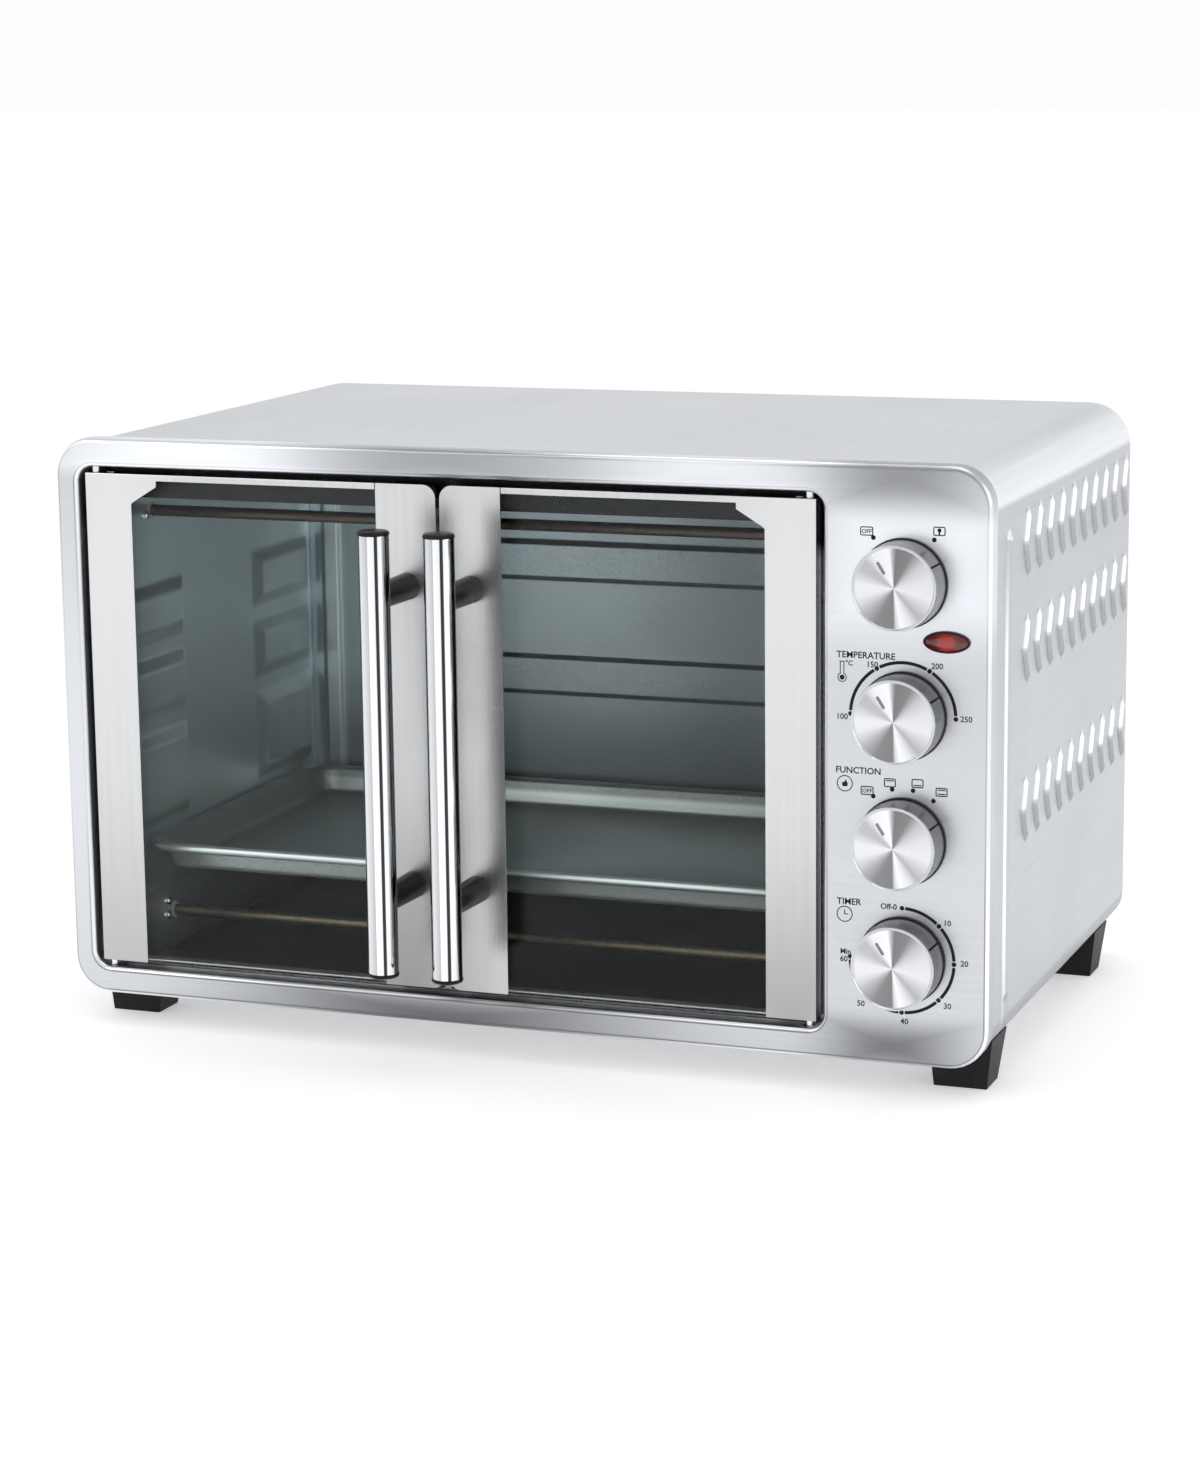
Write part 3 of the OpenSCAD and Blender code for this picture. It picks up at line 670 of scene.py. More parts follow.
class Surface(Graph):
    """One material: a Principled shader and what feeds it."""

    def __init__(self, name: str) -> None:
        """Start the material with a plain shader.

        Args:
            name: The material's name.
        """
        self.material = bpy.data.materials.new(name)
        self.material.use_nodes = True
        super().__init__(self.material.node_tree)
        self.shader = self.tree.nodes["Principled BSDF"]

    def plain(self, **values: float | Sequence[float]) -> None:
        """Set shader sockets that are the same all over; names have _ for spaces."""
        for name, value in values.items():
            self.shader.inputs[name.replace("_", " ")].default_value = value

    def effect(self, effect: Effect, **values: float) -> bpy.types.NodeOutputs:
        """Place a shared effect with its own values.

        Args:
            effect: The effect.
            values: Its inputs; names have _ for spaces.

        Returns:
            Its outputs.
        """
        node = self.add("ShaderNodeGroup", node_tree=EffectGroup.tree_of(effect))
        for name, value in values.items():
            node.inputs[name.replace("_", " ")].default_value = value
        return node.outputs

    def feed(self, socket: str, output: bpy.types.NodeSocket) -> None:
        """Join an output to one of the shader's sockets."""
        self.give(output, self.shader.inputs[socket])

    def tint(
        self, mask: Given, low: Colour | bpy.types.NodeSocket, high: Colour | bpy.types.NodeSocket,
        blend: str = "MIX",
    ) -> bpy.types.NodeSocket:
        """Mix two colours by a mask.

        Args:
            mask: 0 gives low and 1 gives high.
            low: A colour, or an output that carries one.
            high: A colour, or an output that carries one.
            blend: How high lies over low.

        Returns:
            The mixed colour's output.
        """
        mix = self.add("ShaderNodeMix", data_type="RGBA", blend_type=blend)
        self.give(mask, mix.inputs["Factor"])
        for colour, socket in ((low, mix.inputs[6]), (high, mix.inputs[7])):
            self.give(colour if isinstance(colour, bpy.types.NodeSocket) else (*colour, 1), socket)
        return mix.outputs[2]

    def times(self, colour: bpy.types.NodeSocket, share: bpy.types.NodeSocket) -> bpy.types.NodeSocket:
        """Darken a colour by another one."""
        return self.tint(1.0, colour, share, "MULTIPLY")

    def span(self, mask: bpy.types.NodeSocket, low: float, high: float) -> bpy.types.NodeSocket:
        """Turn a mask into a number between low and high."""
        return self.spread(mask, target=(low, high))

    def bump(
        self, height: bpy.types.NodeSocket, depth: float, under: bpy.types.NodeSocket | None = None
    ) -> bpy.types.NodeSocket:
        """Raise the surface by a mask.

        Args:
            height: The mask.
            depth: Height of 1 in millimetres.
            under: A normal that this one is added to.

        Returns:
            The normal's output.
        """
        node = self.add("ShaderNodeBump")
        node.inputs["Distance"].default_value = depth * MM
        node.inputs["Strength"].default_value = 1.0
        self.give(height, node.inputs["Height"])
        if under is not None:
            self.give(under, node.inputs["Normal"])
        return node.outputs["Normal"]

    def ramp(self, value: bpy.types.NodeSocket, stops: Stops, colour: Colour) -> bpy.types.NodeSocket:
        """Give a colour by a number.

        Args:
            value: The number, from 0 to 1.
            stops: Places along it and the colour's share there.
            colour: The full colour.

        Returns:
            The colour's output.
        """
        node = self.add("ShaderNodeValToRGB")
        elements = node.color_ramp.elements
        elements[0].position, elements[1].position = stops[0][0], stops[-1][0]
        for position, _ in stops[1:-1]:
            elements.new(position)
        for element, (_, tone) in zip(elements, stops):
            element.color = (*shade(colour, tone), 1)
        self.give(value, node.inputs["Fac"])
        return node.outputs["Color"]

    def turned(
        self, centre: Point, axes: str, stops: Stops, colour: Colour
    ) -> tuple[bpy.types.NodeSocket, bpy.types.NodeSocket]:
        """Give a colour by the angle round a middle.

        Args:
            centre: The middle, in metres.
            axes: The axis on which the angle is 90 degrees, then the one on which it is 0.
            stops: Angles from -180 to 180 degrees and the colour's share there.
            colour: The full colour.

        Returns:
            The colour's output, and the way from the middle as a vector's output.
        """
        place = self.add("ShaderNodeTexCoord").outputs["Object"]
        away = self.vector("SUBTRACT", place, centre)
        sides = self.split(away)
        angle = self.math("ARCTAN2", sides[axes[0]], sides[axes[1]])
        around = self.spread(angle, (-math.pi, math.pi))
        places = sorted(((degrees + 180) / 360, tone) for degrees, tone in stops)
        return self.ramp(around, places, colour), away

    def tangent(self, axis: str) -> None:
        """Lay the shader's brushing round an axis of the piece."""
        node = self.add("ShaderNodeTangent", direction_type="RADIAL", axis=axis)
        self.feed("Tangent", node.outputs["Tangent"])


# ---- finishes ----


@dataclass(frozen=True)
class Finish:
    """A surface finish; each kind says how its material is made."""

    name: str
    colour: Colour
    roughness: float
    # Patches of painted highlight and painted shade that stand in for reflections and shade, laid over the
    # colour by lit().
    painted_light_patches: tuple[Glow, ...] = ()

    def lit(self, surface: Surface, colour: bpy.types.NodeSocket) -> bpy.types.NodeSocket:
        """Lay this finish's painted highlights and painted shade over its colour.

        Args:
            surface: The material.
            colour: The colour's output.

        Returns:
            The colour's output with the painted light laid over it.
        """
        datum = Datum.read()
        for glow in self.painted_light_patches:
            centre = datum.world(glow.centre)
            values = {f"Centre_{axis}": value for axis, value in zip("XYZ", centre)}
            values.update({f"Reach_{axis}": value * MM for axis, value in zip("XYZ", glow.reach)})
            mask = surface.effect(Effect.GLOW, Soft=glow.soft, **values)["Glow"]
            colour = surface.tint(mask, colour, shade(self.colour, glow.tone))
        return colour

    def between(self, surface: Surface, mask: bpy.types.NodeSocket, contrast: float) -> bpy.types.NodeSocket:
        """Vary this finish's colour by a mask.

        Args:
            surface: The material.
            mask: 0 gives the darker colour and 1 the lighter one.
            contrast: How far they lie from the finish's colour, as a share of it.

        Returns:
            The colour's output.
        """
        return surface.tint(mask, shade(self.colour, 1 - contrast), shade(self.colour, 1 + contrast))

    def rub(self, surface: Surface, mask: bpy.types.NodeSocket, less: float, more: float) -> None:
        """Vary the roughness by a mask.

        Args:
            surface: The material.
            mask: 0 gives the smoothest and 1 the roughest.
            less: How far the smoothest lies below this finish's roughness.
            more: How far the roughest lies above it.
        """
        surface.feed("Roughness", surface.span(mask, self.roughness - less, self.roughness + more))

    def material(self) -> bpy.types.Material:
        """Give this finish's material.

        Returns:
            The material, made when first asked for.
        """
        made = bpy.data.materials.get(self.name)
        if made:
            return made
        surface = Surface(self.name)
        surface.plain(Roughness=self.roughness, Base_Color=(*self.colour, 1))
        self.dress(surface)
        return surface.material

    def dress(self, surface: Surface) -> None:
        """Add the nodes of this kind of finish to its material."""


class Grain(Enum):
    """Direction of brushing: scales along x, y and z, and the axis that the shine turns round."""

    ACROSS = (45.0, 900.0, 2600.0, "Z")
    UPRIGHT = (2600.0, 900.0, 45.0, "X")
    DEPTH = (2600.0, 45.0, 2600.0, "Z")


@dataclass(frozen=True)
class BrushedMetal(Finish):
    """Sheet metal with a brushed grain.

    Attributes:
        grain: Direction of brushing.
        contrast: Difference in colour between its streaks.
        depth: Depth of its lines in millimetres.
        shine: How far the gloss is drawn out across the grain.
        painted_lean_light: Painted highlight and painted shade, as the colour's share by how far the face
            looks up.
        painted_edge_light: Painted highlight and painted shade on rolled edges, with a faint bluish painted
            reflection, as the colour's share by how far they look to the front.
    """

    grain: Grain = Grain.ACROSS
    contrast: float = 0.12
    depth: float = 0.012
    shine: float = 0.55
    painted_lean_light: Stops = ()
    painted_edge_light: Stops = ()

    def dress(self, surface: Surface) -> None:
        """Add lines in colour, roughness and relief, smudges over them, and painted highlights and painted
        shade on the colour.

        Args:
            surface: The material.
        """
        x, y, z, axis = self.grain.value
        surface.plain(Metallic=1.0, Anisotropic=self.shine)
        surface.tangent(axis)
        grain = surface.effect(Effect.GRAIN, Scale_X=x, Scale_Y=y, Scale_Z=z)
        colour = self.between(surface, grain["Streaks"], self.contrast)
        # Painted highlight and painted shade by how far the face looks up.
        if self.painted_lean_light:
            painted_lean_shade = surface.ramp(surface.effect(Effect.LEAN)["Up"], self.painted_lean_light, (1.0, 1.0, 1.0))
            colour = surface.times(colour, painted_lean_shade)
        # Painted highlight and painted shade on rolled edges by how far they look to the front, tinted as a
        # faint bluish painted reflection.
        if self.painted_edge_light:
            front = surface.effect(Effect.LEAN)["Front"]
            rolled = surface.ramp(front, self.painted_edge_light, (0.97, 0.98, 1.0))
            colour = surface.tint(surface.spread(front, (0.995, 0.985)), colour, rolled)
        surface.feed("Base Color", self.lit(surface, colour))
        self.rub(surface, surface.effect(Effect.SMUDGE, Scale=7.0)["Patches"], 0.03, 0.05)
        surface.feed("Normal", surface.bump(grain["Lines"], self.depth))


@dataclass(frozen=True)
class SatinMetal(Finish):
    """Plain satin or plated metal with a faint grain of its own."""

    contrast: float = 0.08
    scale: float = 700.0
    depth: float = 0.01

    def dress(self, surface: Surface) -> None:
        """Add speckle in colour and relief, worn edges, and this finish's painted highlights and painted
        shade.

        Args:
            surface: The material.
        """
        surface.plain(Metallic=1.0)
        speckle = surface.effect(Effect.SPECKLE, Scale=self.scale)
        wear = surface.effect(Effect.WEAR, Amount=0.5)["Wear"]
        body = self.between(surface, speckle["Waves"], self.contrast)
        surface.feed("Base Color", self.lit(surface, surface.tint(wear, body, shade(self.colour, 1.25))))
        self.rub(surface, speckle["Grains"], 0.04, 0.06)
        surface.feed("Normal", surface.bump(speckle["Grains"], self.depth))


@dataclass(frozen=True)
class CoatedSteel(Finish):
    """Aluminised or enamelled steel with a speckled coat and low waves."""

    metallic: float = 0.8
    scale: float = 1400.0
    contrast: float = 0.2
    wave: float = 0.25
    grain_depth: float = 0.012
    dust: Colour = (0.5, 0.49, 0.47)

    def dress(self, surface: Surface) -> None:
        """Add speckle, slow waves, a little dust, and this finish's painted highlights and painted shade.

        Args:
            surface: The material.
        """
        surface.plain(Metallic=self.metallic)
        speckle = surface.effect(Effect.SPECKLE, Scale=self.scale)
        dust = surface.effect(Effect.DUST, Amount=0.04)["Dust"]
        coat = self.between(surface, speckle["Grains"], self.contrast)
        surface.feed("Base Color", self.lit(surface, surface.tint(dust, coat, self.dust)))
        self.rub(surface, speckle["Waves"], 0.06, 0.06)
        waved = surface.bump(speckle["Waves"], self.wave)
        surface.feed("Normal", surface.bump(speckle["Grains"], self.grain_depth, waved))


@dataclass(frozen=True)
class SpunMetal(Finish):
    """Turned disc with painted shine: wedge-shaped painted highlights and painted shade round its middle."""

    centre: Point = (0.0, 0.0, 0.0)
    painted_shine_wedges: Stops = ()
    ring_scale: float = 4500.0
    ring_depth: float = 0.006

    def dress(self, surface: Surface) -> None:
        """Add painted highlights and painted shade in wedge shapes by angle, and fine rings in relief.

        Args:
            surface: The material.
        """
        surface.plain(Metallic=1.0, Anisotropic=0.75)
        surface.tangent("Y")
        colour, away = surface.turned(self.centre, "XZ", self.painted_shine_wedges, self.colour)
        surface.feed("Base Color", colour)
        rings = surface.add("ShaderNodeTexNoise", noise_dimensions="1D")
        for name, value in (
            ("W", surface.vector("LENGTH", away)), ("Scale", self.ring_scale), ("Detail", 1.0),
        ):
            surface.give(value, rings.inputs[name])
        surface.feed("Normal", surface.bump(rings.outputs["Fac"], self.ring_depth))
        self.rub(surface, rings.outputs["Fac"], 0.05, 0.05)


@dataclass(frozen=True)
class BandedChrome(Finish):
    """Polished tube with a painted reflection: dark and bright stripes painted along it by angle round its
    axis.
    """

    centre: Point = (0.0, 0.0, 0.0)
    painted_reflection_bands: Stops = ()

    def dress(self, surface: Surface) -> None:
        """Add painted reflection stripes by angle, and fine lines of the polish along the tube.

        Args:
            surface: The material.
        """
        surface.plain(Metallic=1.0)
        grain = surface.effect(Effect.GRAIN, Scale_X=2600.0, Scale_Y=2600.0, Scale_Z=30.0)
        surface.feed("Base Color", surface.turned(self.centre, "XY", self.painted_reflection_bands, self.colour)[0])
        self.rub(surface, surface.effect(Effect.SMUDGE, Scale=24.0)["Patches"], 0.0, 0.04)
        surface.feed("Normal", surface.bump(grain["Lines"], 0.001))


@dataclass(frozen=True)
class Moulded(Finish):
    """Moulded plastic, rubber or ceramic with a fine tooled skin."""

    coat: float = 0.0
    texture: float = 0.02

    def dress(self, surface: Surface) -> None:
        """Add a tooled skin, dust on top and lighter rubbed edges.

        Args:
            surface: The material.
        """
        surface.plain(Coat_Weight=self.coat, Coat_Roughness=0.12, Specular_IOR_Level=0.12)
        speckle = surface.effect(Effect.SPECKLE, Scale=1800.0)
        dust = surface.effect(Effect.DUST, Amount=0.25)["Dust"]
        wear = surface.effect(Effect.WEAR, Amount=0.35)["Wear"]
        dusty = surface.tint(dust, self.colour, tuple(0.7 * c + 0.03 for c in self.colour))
        rubbed = tuple(min(1.0, 0.8 * c + 0.03) for c in self.colour)
        surface.feed("Base Color", surface.tint(wear, dusty, rubbed))
        self.rub(surface, speckle["Waves"], 0.05, 0.07)
        surface.feed("Normal", surface.bump(speckle["Grains"], self.texture))


@dataclass(frozen=True)
class ClearGlass(Finish):
    """Clear glass with faint wiping marks."""

    index: float = 1.2

    def dress(self, surface: Surface) -> None:
        """Add a clear body whose gloss varies a little.

        Args:
            surface: The material.
        """
        surface.plain(Transmission_Weight=1.0, IOR=self.index, Metallic=0.0)
        self.rub(surface, surface.effect(Effect.SMUDGE, Scale=5.0)["Patches"], 0.0, 0.015)


@dataclass(frozen=True)
class Lens(Finish):
    """Coloured lens, brighter towards its lit middle."""

    centre: Point = (0.0, 0.0, 0.0)
    reach: float = 0.01
    bright: Colour = (0.34, 0.02, 0.015)

    def dress(self, surface: Surface) -> None:
        """Add a round glow in the middle under a clear gloss.

        Args:
            surface: The material.
        """
        surface.plain(Coat_Weight=0.6, Coat_Roughness=0.05, Emission_Strength=0.05)
        place = surface.add("ShaderNodeTexCoord").outputs["Object"]
        away = surface.vector("LENGTH", surface.vector("SUBTRACT", place, self.centre))
        glow = surface.spread(away, (self.reach * 0.85, self.reach * 0.45), shape="SMOOTHSTEP")
        surface.feed("Base Color", surface.tint(glow, self.colour, self.bright))
        surface.feed("Emission Color", surface.tint(glow, (0, 0, 0), self.bright))


class Finishes:
    """The oven's finishes, by what they are on."""

    # Painted light on the front panel: soft painted highlights and painted shade along its edges and over the
    # controls stand in for reflections, with painted shade along the bottom; the last four patches paint
    # shade into the gap round the door opening; rolled edges get painted highlight and shade.
    FRONT = BrushedMetal(
        "front_brushed_steel", (0.6, 0.61, 0.63), 0.28, contrast=0.04,
        painted_light_patches=(
            Glow((-268, 0, 165), (20, 30, 190), 1.12),
            Glow((-190, 0, 321), (150, 30, 20), 1.6),
            Glow((-35, 0, 321), (130, 30, 26), 0.62),
            Glow((120, 0, 321), (90, 30, 22), 1.35),
            Glow((236, 0, 272), (90, 30, 60), 1.5),
            Glow((230, 0, 170), (90, 30, 90), 1.0),
            Glow((226, 0, 319), (70, 30, 26), 0.5),
            Glow((-45, 0, 4), (200, 30, 22), 0.26),
            Glow((222, 0, 10), (64, 30, 22), 0.32),
            Glow((-262, 16, 163), (9, 13, 157), 0.06, 0.35),
            Glow((184, 16, 163), (9, 13, 157), 0.06, 0.35),
            Glow((-39, 16, 310), (232, 13, 9), 0.06, 0.35),
            Glow((-39, 16, 15), (232, 13, 9), 0.06, 0.35),
        ),
        painted_edge_light=(
            (0.0, 0.5), (0.5, 0.5), (0.62, 0.85), (0.75, 1.0),
            (0.93, 0.95), (0.965, 0.3), (0.985, 0.25), (1.0, 0.6),
        ),
    )
    # Painted reflections on the door plates: painted highlights high on both outer stiles, painted shade low
    # down and beside the handles.
    DOOR = BrushedMetal(
        "door_brushed_steel", (0.62, 0.62, 0.62), 0.25, grain=Grain.UPRIGHT, contrast=0.04,
        painted_light_patches=(
            Glow((-240, 2, 290), (60, 20, 200), 1.15),
            Glow((165, 2, 290), (60, 20, 200), 1.15),
            Glow((165, 2, 10), (60, 20, 130), 0.66),
            Glow((-240, 2, 0), (60, 20, 150), 0.75),
            Glow((-62, 2, 20), (80, 20, 200), 0.5),
            Glow((-30, -2, 200), (70, 20, 90), 0.78),
        ),
    )
    # Painted light on the cover: tone set by how far each face looks up, so the louvre hoods' upper arms come
    # out light and their lower arms dark; a faint painted highlight on the side bead's front flank and
    # painted shade on its rear flank.
    COVER = BrushedMetal(
        "cover_satin_steel", (0.92, 0.94, 0.965), 0.36, grain=Grain.DEPTH, contrast=0.03, shine=0.2,
        painted_lean_light=(
            (0.0, 0.4), (0.2, 0.36), (0.44, 0.46), (0.48, 0.57), (0.5, 0.58),
            (0.52, 0.6), (0.57, 0.94), (0.85, 0.96), (0.97, 0.76), (1.0, 0.7),
        ),
        painted_light_patches=(
            Glow((275, 37.8, 140), (12, 2.0, 150), 1.05, 0.6),
            Glow((275, 47.6, 140), (12, 2.0, 150), 0.42, 0.6),
        ),
    )
    REAR = SatinMetal("rear_galvanised", (0.5, 0.51, 0.52), 0.45, contrast=0.12, scale=300.0)
    # Painted light in the lining: painted shade low on the back, painted highlights over the left wall and in
    # an upright band at its rear corner.
    CAVITY = CoatedSteel(
        "aluminised_lining", (0.3, 0.345, 0.36), 0.33,
        painted_light_patches=(
            Glow((-40, 310, 40), (300, 60, 110), 0.4),
            Glow((-250, 150, 160), (30, 170, 240), 3.0, 0.6),
            Glow((-250, 296, 180), (12, 30, 260), 2.4, 0.6),
        ),
    )
    CAVITY_DARK = CoatedSteel("dark_lining", (0.025, 0.026, 0.027), 0.42, wave=0.1)
    # Painted shade over the frame's top rail, and a painted highlight along its sill.
    FRAME = SatinMetal(
        "frame_plated", (0.5, 0.51, 0.53), 0.3,
        painted_light_patches=(Glow((-40, 40, 330), (400, 90, 60), 0.03, 0.2), Glow((-39, 15, 12), (240, 9, 9), 2.8, 0.4)),
    )
    # Painted light on the tray: painted shade on the right part of its front wall, painted reflections
    # lightening its floor, and painted highlight lines along the front rim and the rear fold.
    TRAY = CoatedSteel(
        "enamelled_tray", (0.32, 0.355, 0.345), 0.34, metallic=0.6, scale=900.0, wave=0.12,
        painted_light_patches=(
            Glow((70, 30, 74), (150, 16, 16), 0.12),
            Glow((60, 160, 70), (130, 90, 12), 2.3),
            Glow((-150, 150, 72), (100, 130, 20), 1.5),
            Glow((-39, 29, 85), (230, 5, 3), 2.8, 0.4),
            Glow((-39, 264, 73), (230, 6, 7), 2.4, 0.5),
        ),
    )
    # Painted shade: the crumb tray is darkened almost all over.
    CRUMB = CoatedSteel(
        "crumb_tray_steel", (0.8, 0.81, 0.82), 0.35, metallic=0.9, wave=0.1,
        painted_light_patches=(Glow((-40, 160, 15), (300, 141, 30), 0.04, 0.03),),
    )
    ROD = CoatedSteel("heating_rod_sheath", (0.075, 0.06, 0.05), 0.45, metallic=0.7, scale=400.0, wave=0.02)
    LOW_ROD = CoatedSteel("lower_rod_sheath", (0.2, 0.16, 0.12), 0.42, metallic=0.8, scale=400.0, wave=0.02)
    RING = SatinMetal("knob_ring_chrome", (0.6, 0.61, 0.63), 0.14, contrast=0.02, depth=0.0005)
    SKIRT = BrushedMetal("knob_skirt_metal", (0.27, 0.27, 0.285), 0.28, contrast=0.08, depth=0.004)
    PIN = SatinMetal("hinge_pin_steel", (0.8, 0.8, 0.82), 0.2)
    SCREW = SatinMetal("zinc_screw", (0.7, 0.71, 0.74), 0.28, contrast=0.12)
    BRACKET = SatinMetal("zinc_bracket", (0.5, 0.5, 0.46), 0.38, contrast=0.15, scale=260.0)
    BLACK = Moulded("black_moulding", (0.008, 0.008, 0.009), 0.26, coat=0.05)
    RUBBER = Moulded("foot_moulding", (0.014, 0.014, 0.015), 0.45, texture=0.035)
    BASE_RING = Moulded("knob_base_black", (0.02, 0.02, 0.022), 0.4)
    CONTROL = Moulded("control_body", (0.05, 0.045, 0.04), 0.5)
    PALE = Moulded("pale_moulding", (0.62, 0.6, 0.54), 0.5)
    CERAMIC = Moulded("steatite", (0.75, 0.72, 0.65), 0.6, texture=0.05)
    NYLON = Moulded("hinge_nylon", (0.8, 0.79, 0.75), 0.45)
    WIRE = Moulded("glass_braid", (0.6, 0.56, 0.48), 0.7, texture=0.06)
    INK = Moulded("dial_ink", (0.012, 0.012, 0.014), 0.55, texture=0.004)
    POINTER = SatinMetal("pointer_metal", (0.22, 0.22, 0.23), 0.35)
    LENS_RIM = Moulded("lens_rim_dark", (0.03, 0.006, 0.006), 0.3, coat=0.3)
    GLASS = ClearGlass("toughened_glass", (0.96, 0.985, 0.98), 0.0)
    LAMP_GLASS = ClearGlass("lamp_cover_glass", (0.97, 0.98, 0.98), 0.02)
    BULB = ClearGlass("bulb_glass", (0.98, 0.97, 0.94), 0.05)


# ---- carried-over CAD nodes ----


@dataclass(frozen=True)
class Carried:
    """CAD nodes that are shown as they are, with softened edges and a finish.

    Attributes:
        finish: Their finish.
        nodes: Their names.
        edge: Width of the softened edges in millimetres; 0 leaves them as they are.
    """

    finish: Finish
    nodes: tuple[str, ...]
    edge: float = 0.3

    def dress(self) -> None:
        """Soften the edges of each node and give it the finish."""
        for name in self.nodes:
            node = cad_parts[name]
            for place in node.material_slots:
                place.material = self.finish.material()
            if self.edge:
                weld = node.modifiers.new("join_points", "WELD")
                weld.merge_threshold = 2e-6
                bevel = node.modifiers.new("soft_edges", "BEVEL")
                bevel.width = self.edge * MM
                bevel.segments = 2
                bevel.limit_method = "ANGLE"
                bevel.angle_limit = math.radians(40)
                weigh_normals(node)
            log.info("%s: carried over, %s", name, self.finish.name)


# ---- casing ----


@dataclass
class FrontPanel:
    """Pressed front panel with rolled edges, the door opening and the control holes."""

    datum: Datum
    sheet: float = 1.0
    edge_round: float = 3.0
    opening_round: float = 3.5
    corner: float = 22.0
    opening_corner: float = 9.0
    opening_low: Flat = (-261.0, 16.0)
    opening_high: Flat = (183.0, 309.6)
    hole: float = 4.5

    def outer(self, work: Work, inset: float, y: float) -> list[int]:
        """Add the panel's outline, moved inwards.

        Args:
            work: The panel's mesh.
            inset: Distance inwards.
            y: Depth behind the panel's face.

        Returns:
            The loop's numbers.
        """
        low, high = self.datum.box("front_panel")
        ring = round_outline(
            (low.x + inset, low.z + inset), (high.x - inset, high.z - inset), self.corner - inset
        )
        return work.ring((x, y, z) for x, z in ring)

    def opening(self, work: Work, grow: float, y: float) -> list[int]:
        """Add the door opening's outline, moved outwards.

        Args:
            work: The panel's mesh.
            grow: Distance outwards.
            y: Depth behind the panel's face.

        Returns:
            The loop's numbers.
        """
        ring = round_outline(
            (self.opening_low[0] - grow, self.opening_low[1] - grow),
            (self.opening_high[0] + grow, self.opening_high[1] + grow),
            self.opening_corner + grow,
        )
        return work.ring((x, y, z) for x, z in ring)

    def build(self) -> bpy.types.Object:
        """Build the panel.

        Returns:
            The panel.
        """
        work = Work(self.datum)
        depth = self.datum.box("front_panel")[1].y
        sides = []
        for draw, bend in ((self.outer, self.edge_round), (self.opening, self.opening_round)):
            front = [draw(work, inset, y) for inset, y in quarter(bend)]
            inner = [
                draw(work, inset + self.sheet, y + self.sheet)
                for inset, y in reversed(quarter(bend - self.sheet))
            ]
            rows = front + [draw(work, 0, depth), draw(work, self.sheet, depth)] + inner
            work.loft(rows)
            sides.append((rows[0], rows[-1]))
        front_holes, back_holes = [], []
        for name in KNOBS:
            low, high = self.datum.box(name + "_knob")
            ring = circle_outline(((low.x + high.x) / 2, (low.z + high.z) / 2), self.hole, 24)
            front_holes.append(work.ring((x, 0, z) for x, z in ring))
            back_holes.append(work.ring((x, self.sheet, z) for x, z in ring))
            work.strip(front_holes[-1], back_holes[-1])
        work.fill([sides[0][0], sides[1][0], *front_holes])
        work.fill([sides[0][1], sides[1][1], *back_holes])
        label = Label("front_panel_sheet", "casing", "front_steel", ("front_panel",))
        return work.piece(label, Finishes.FRONT)


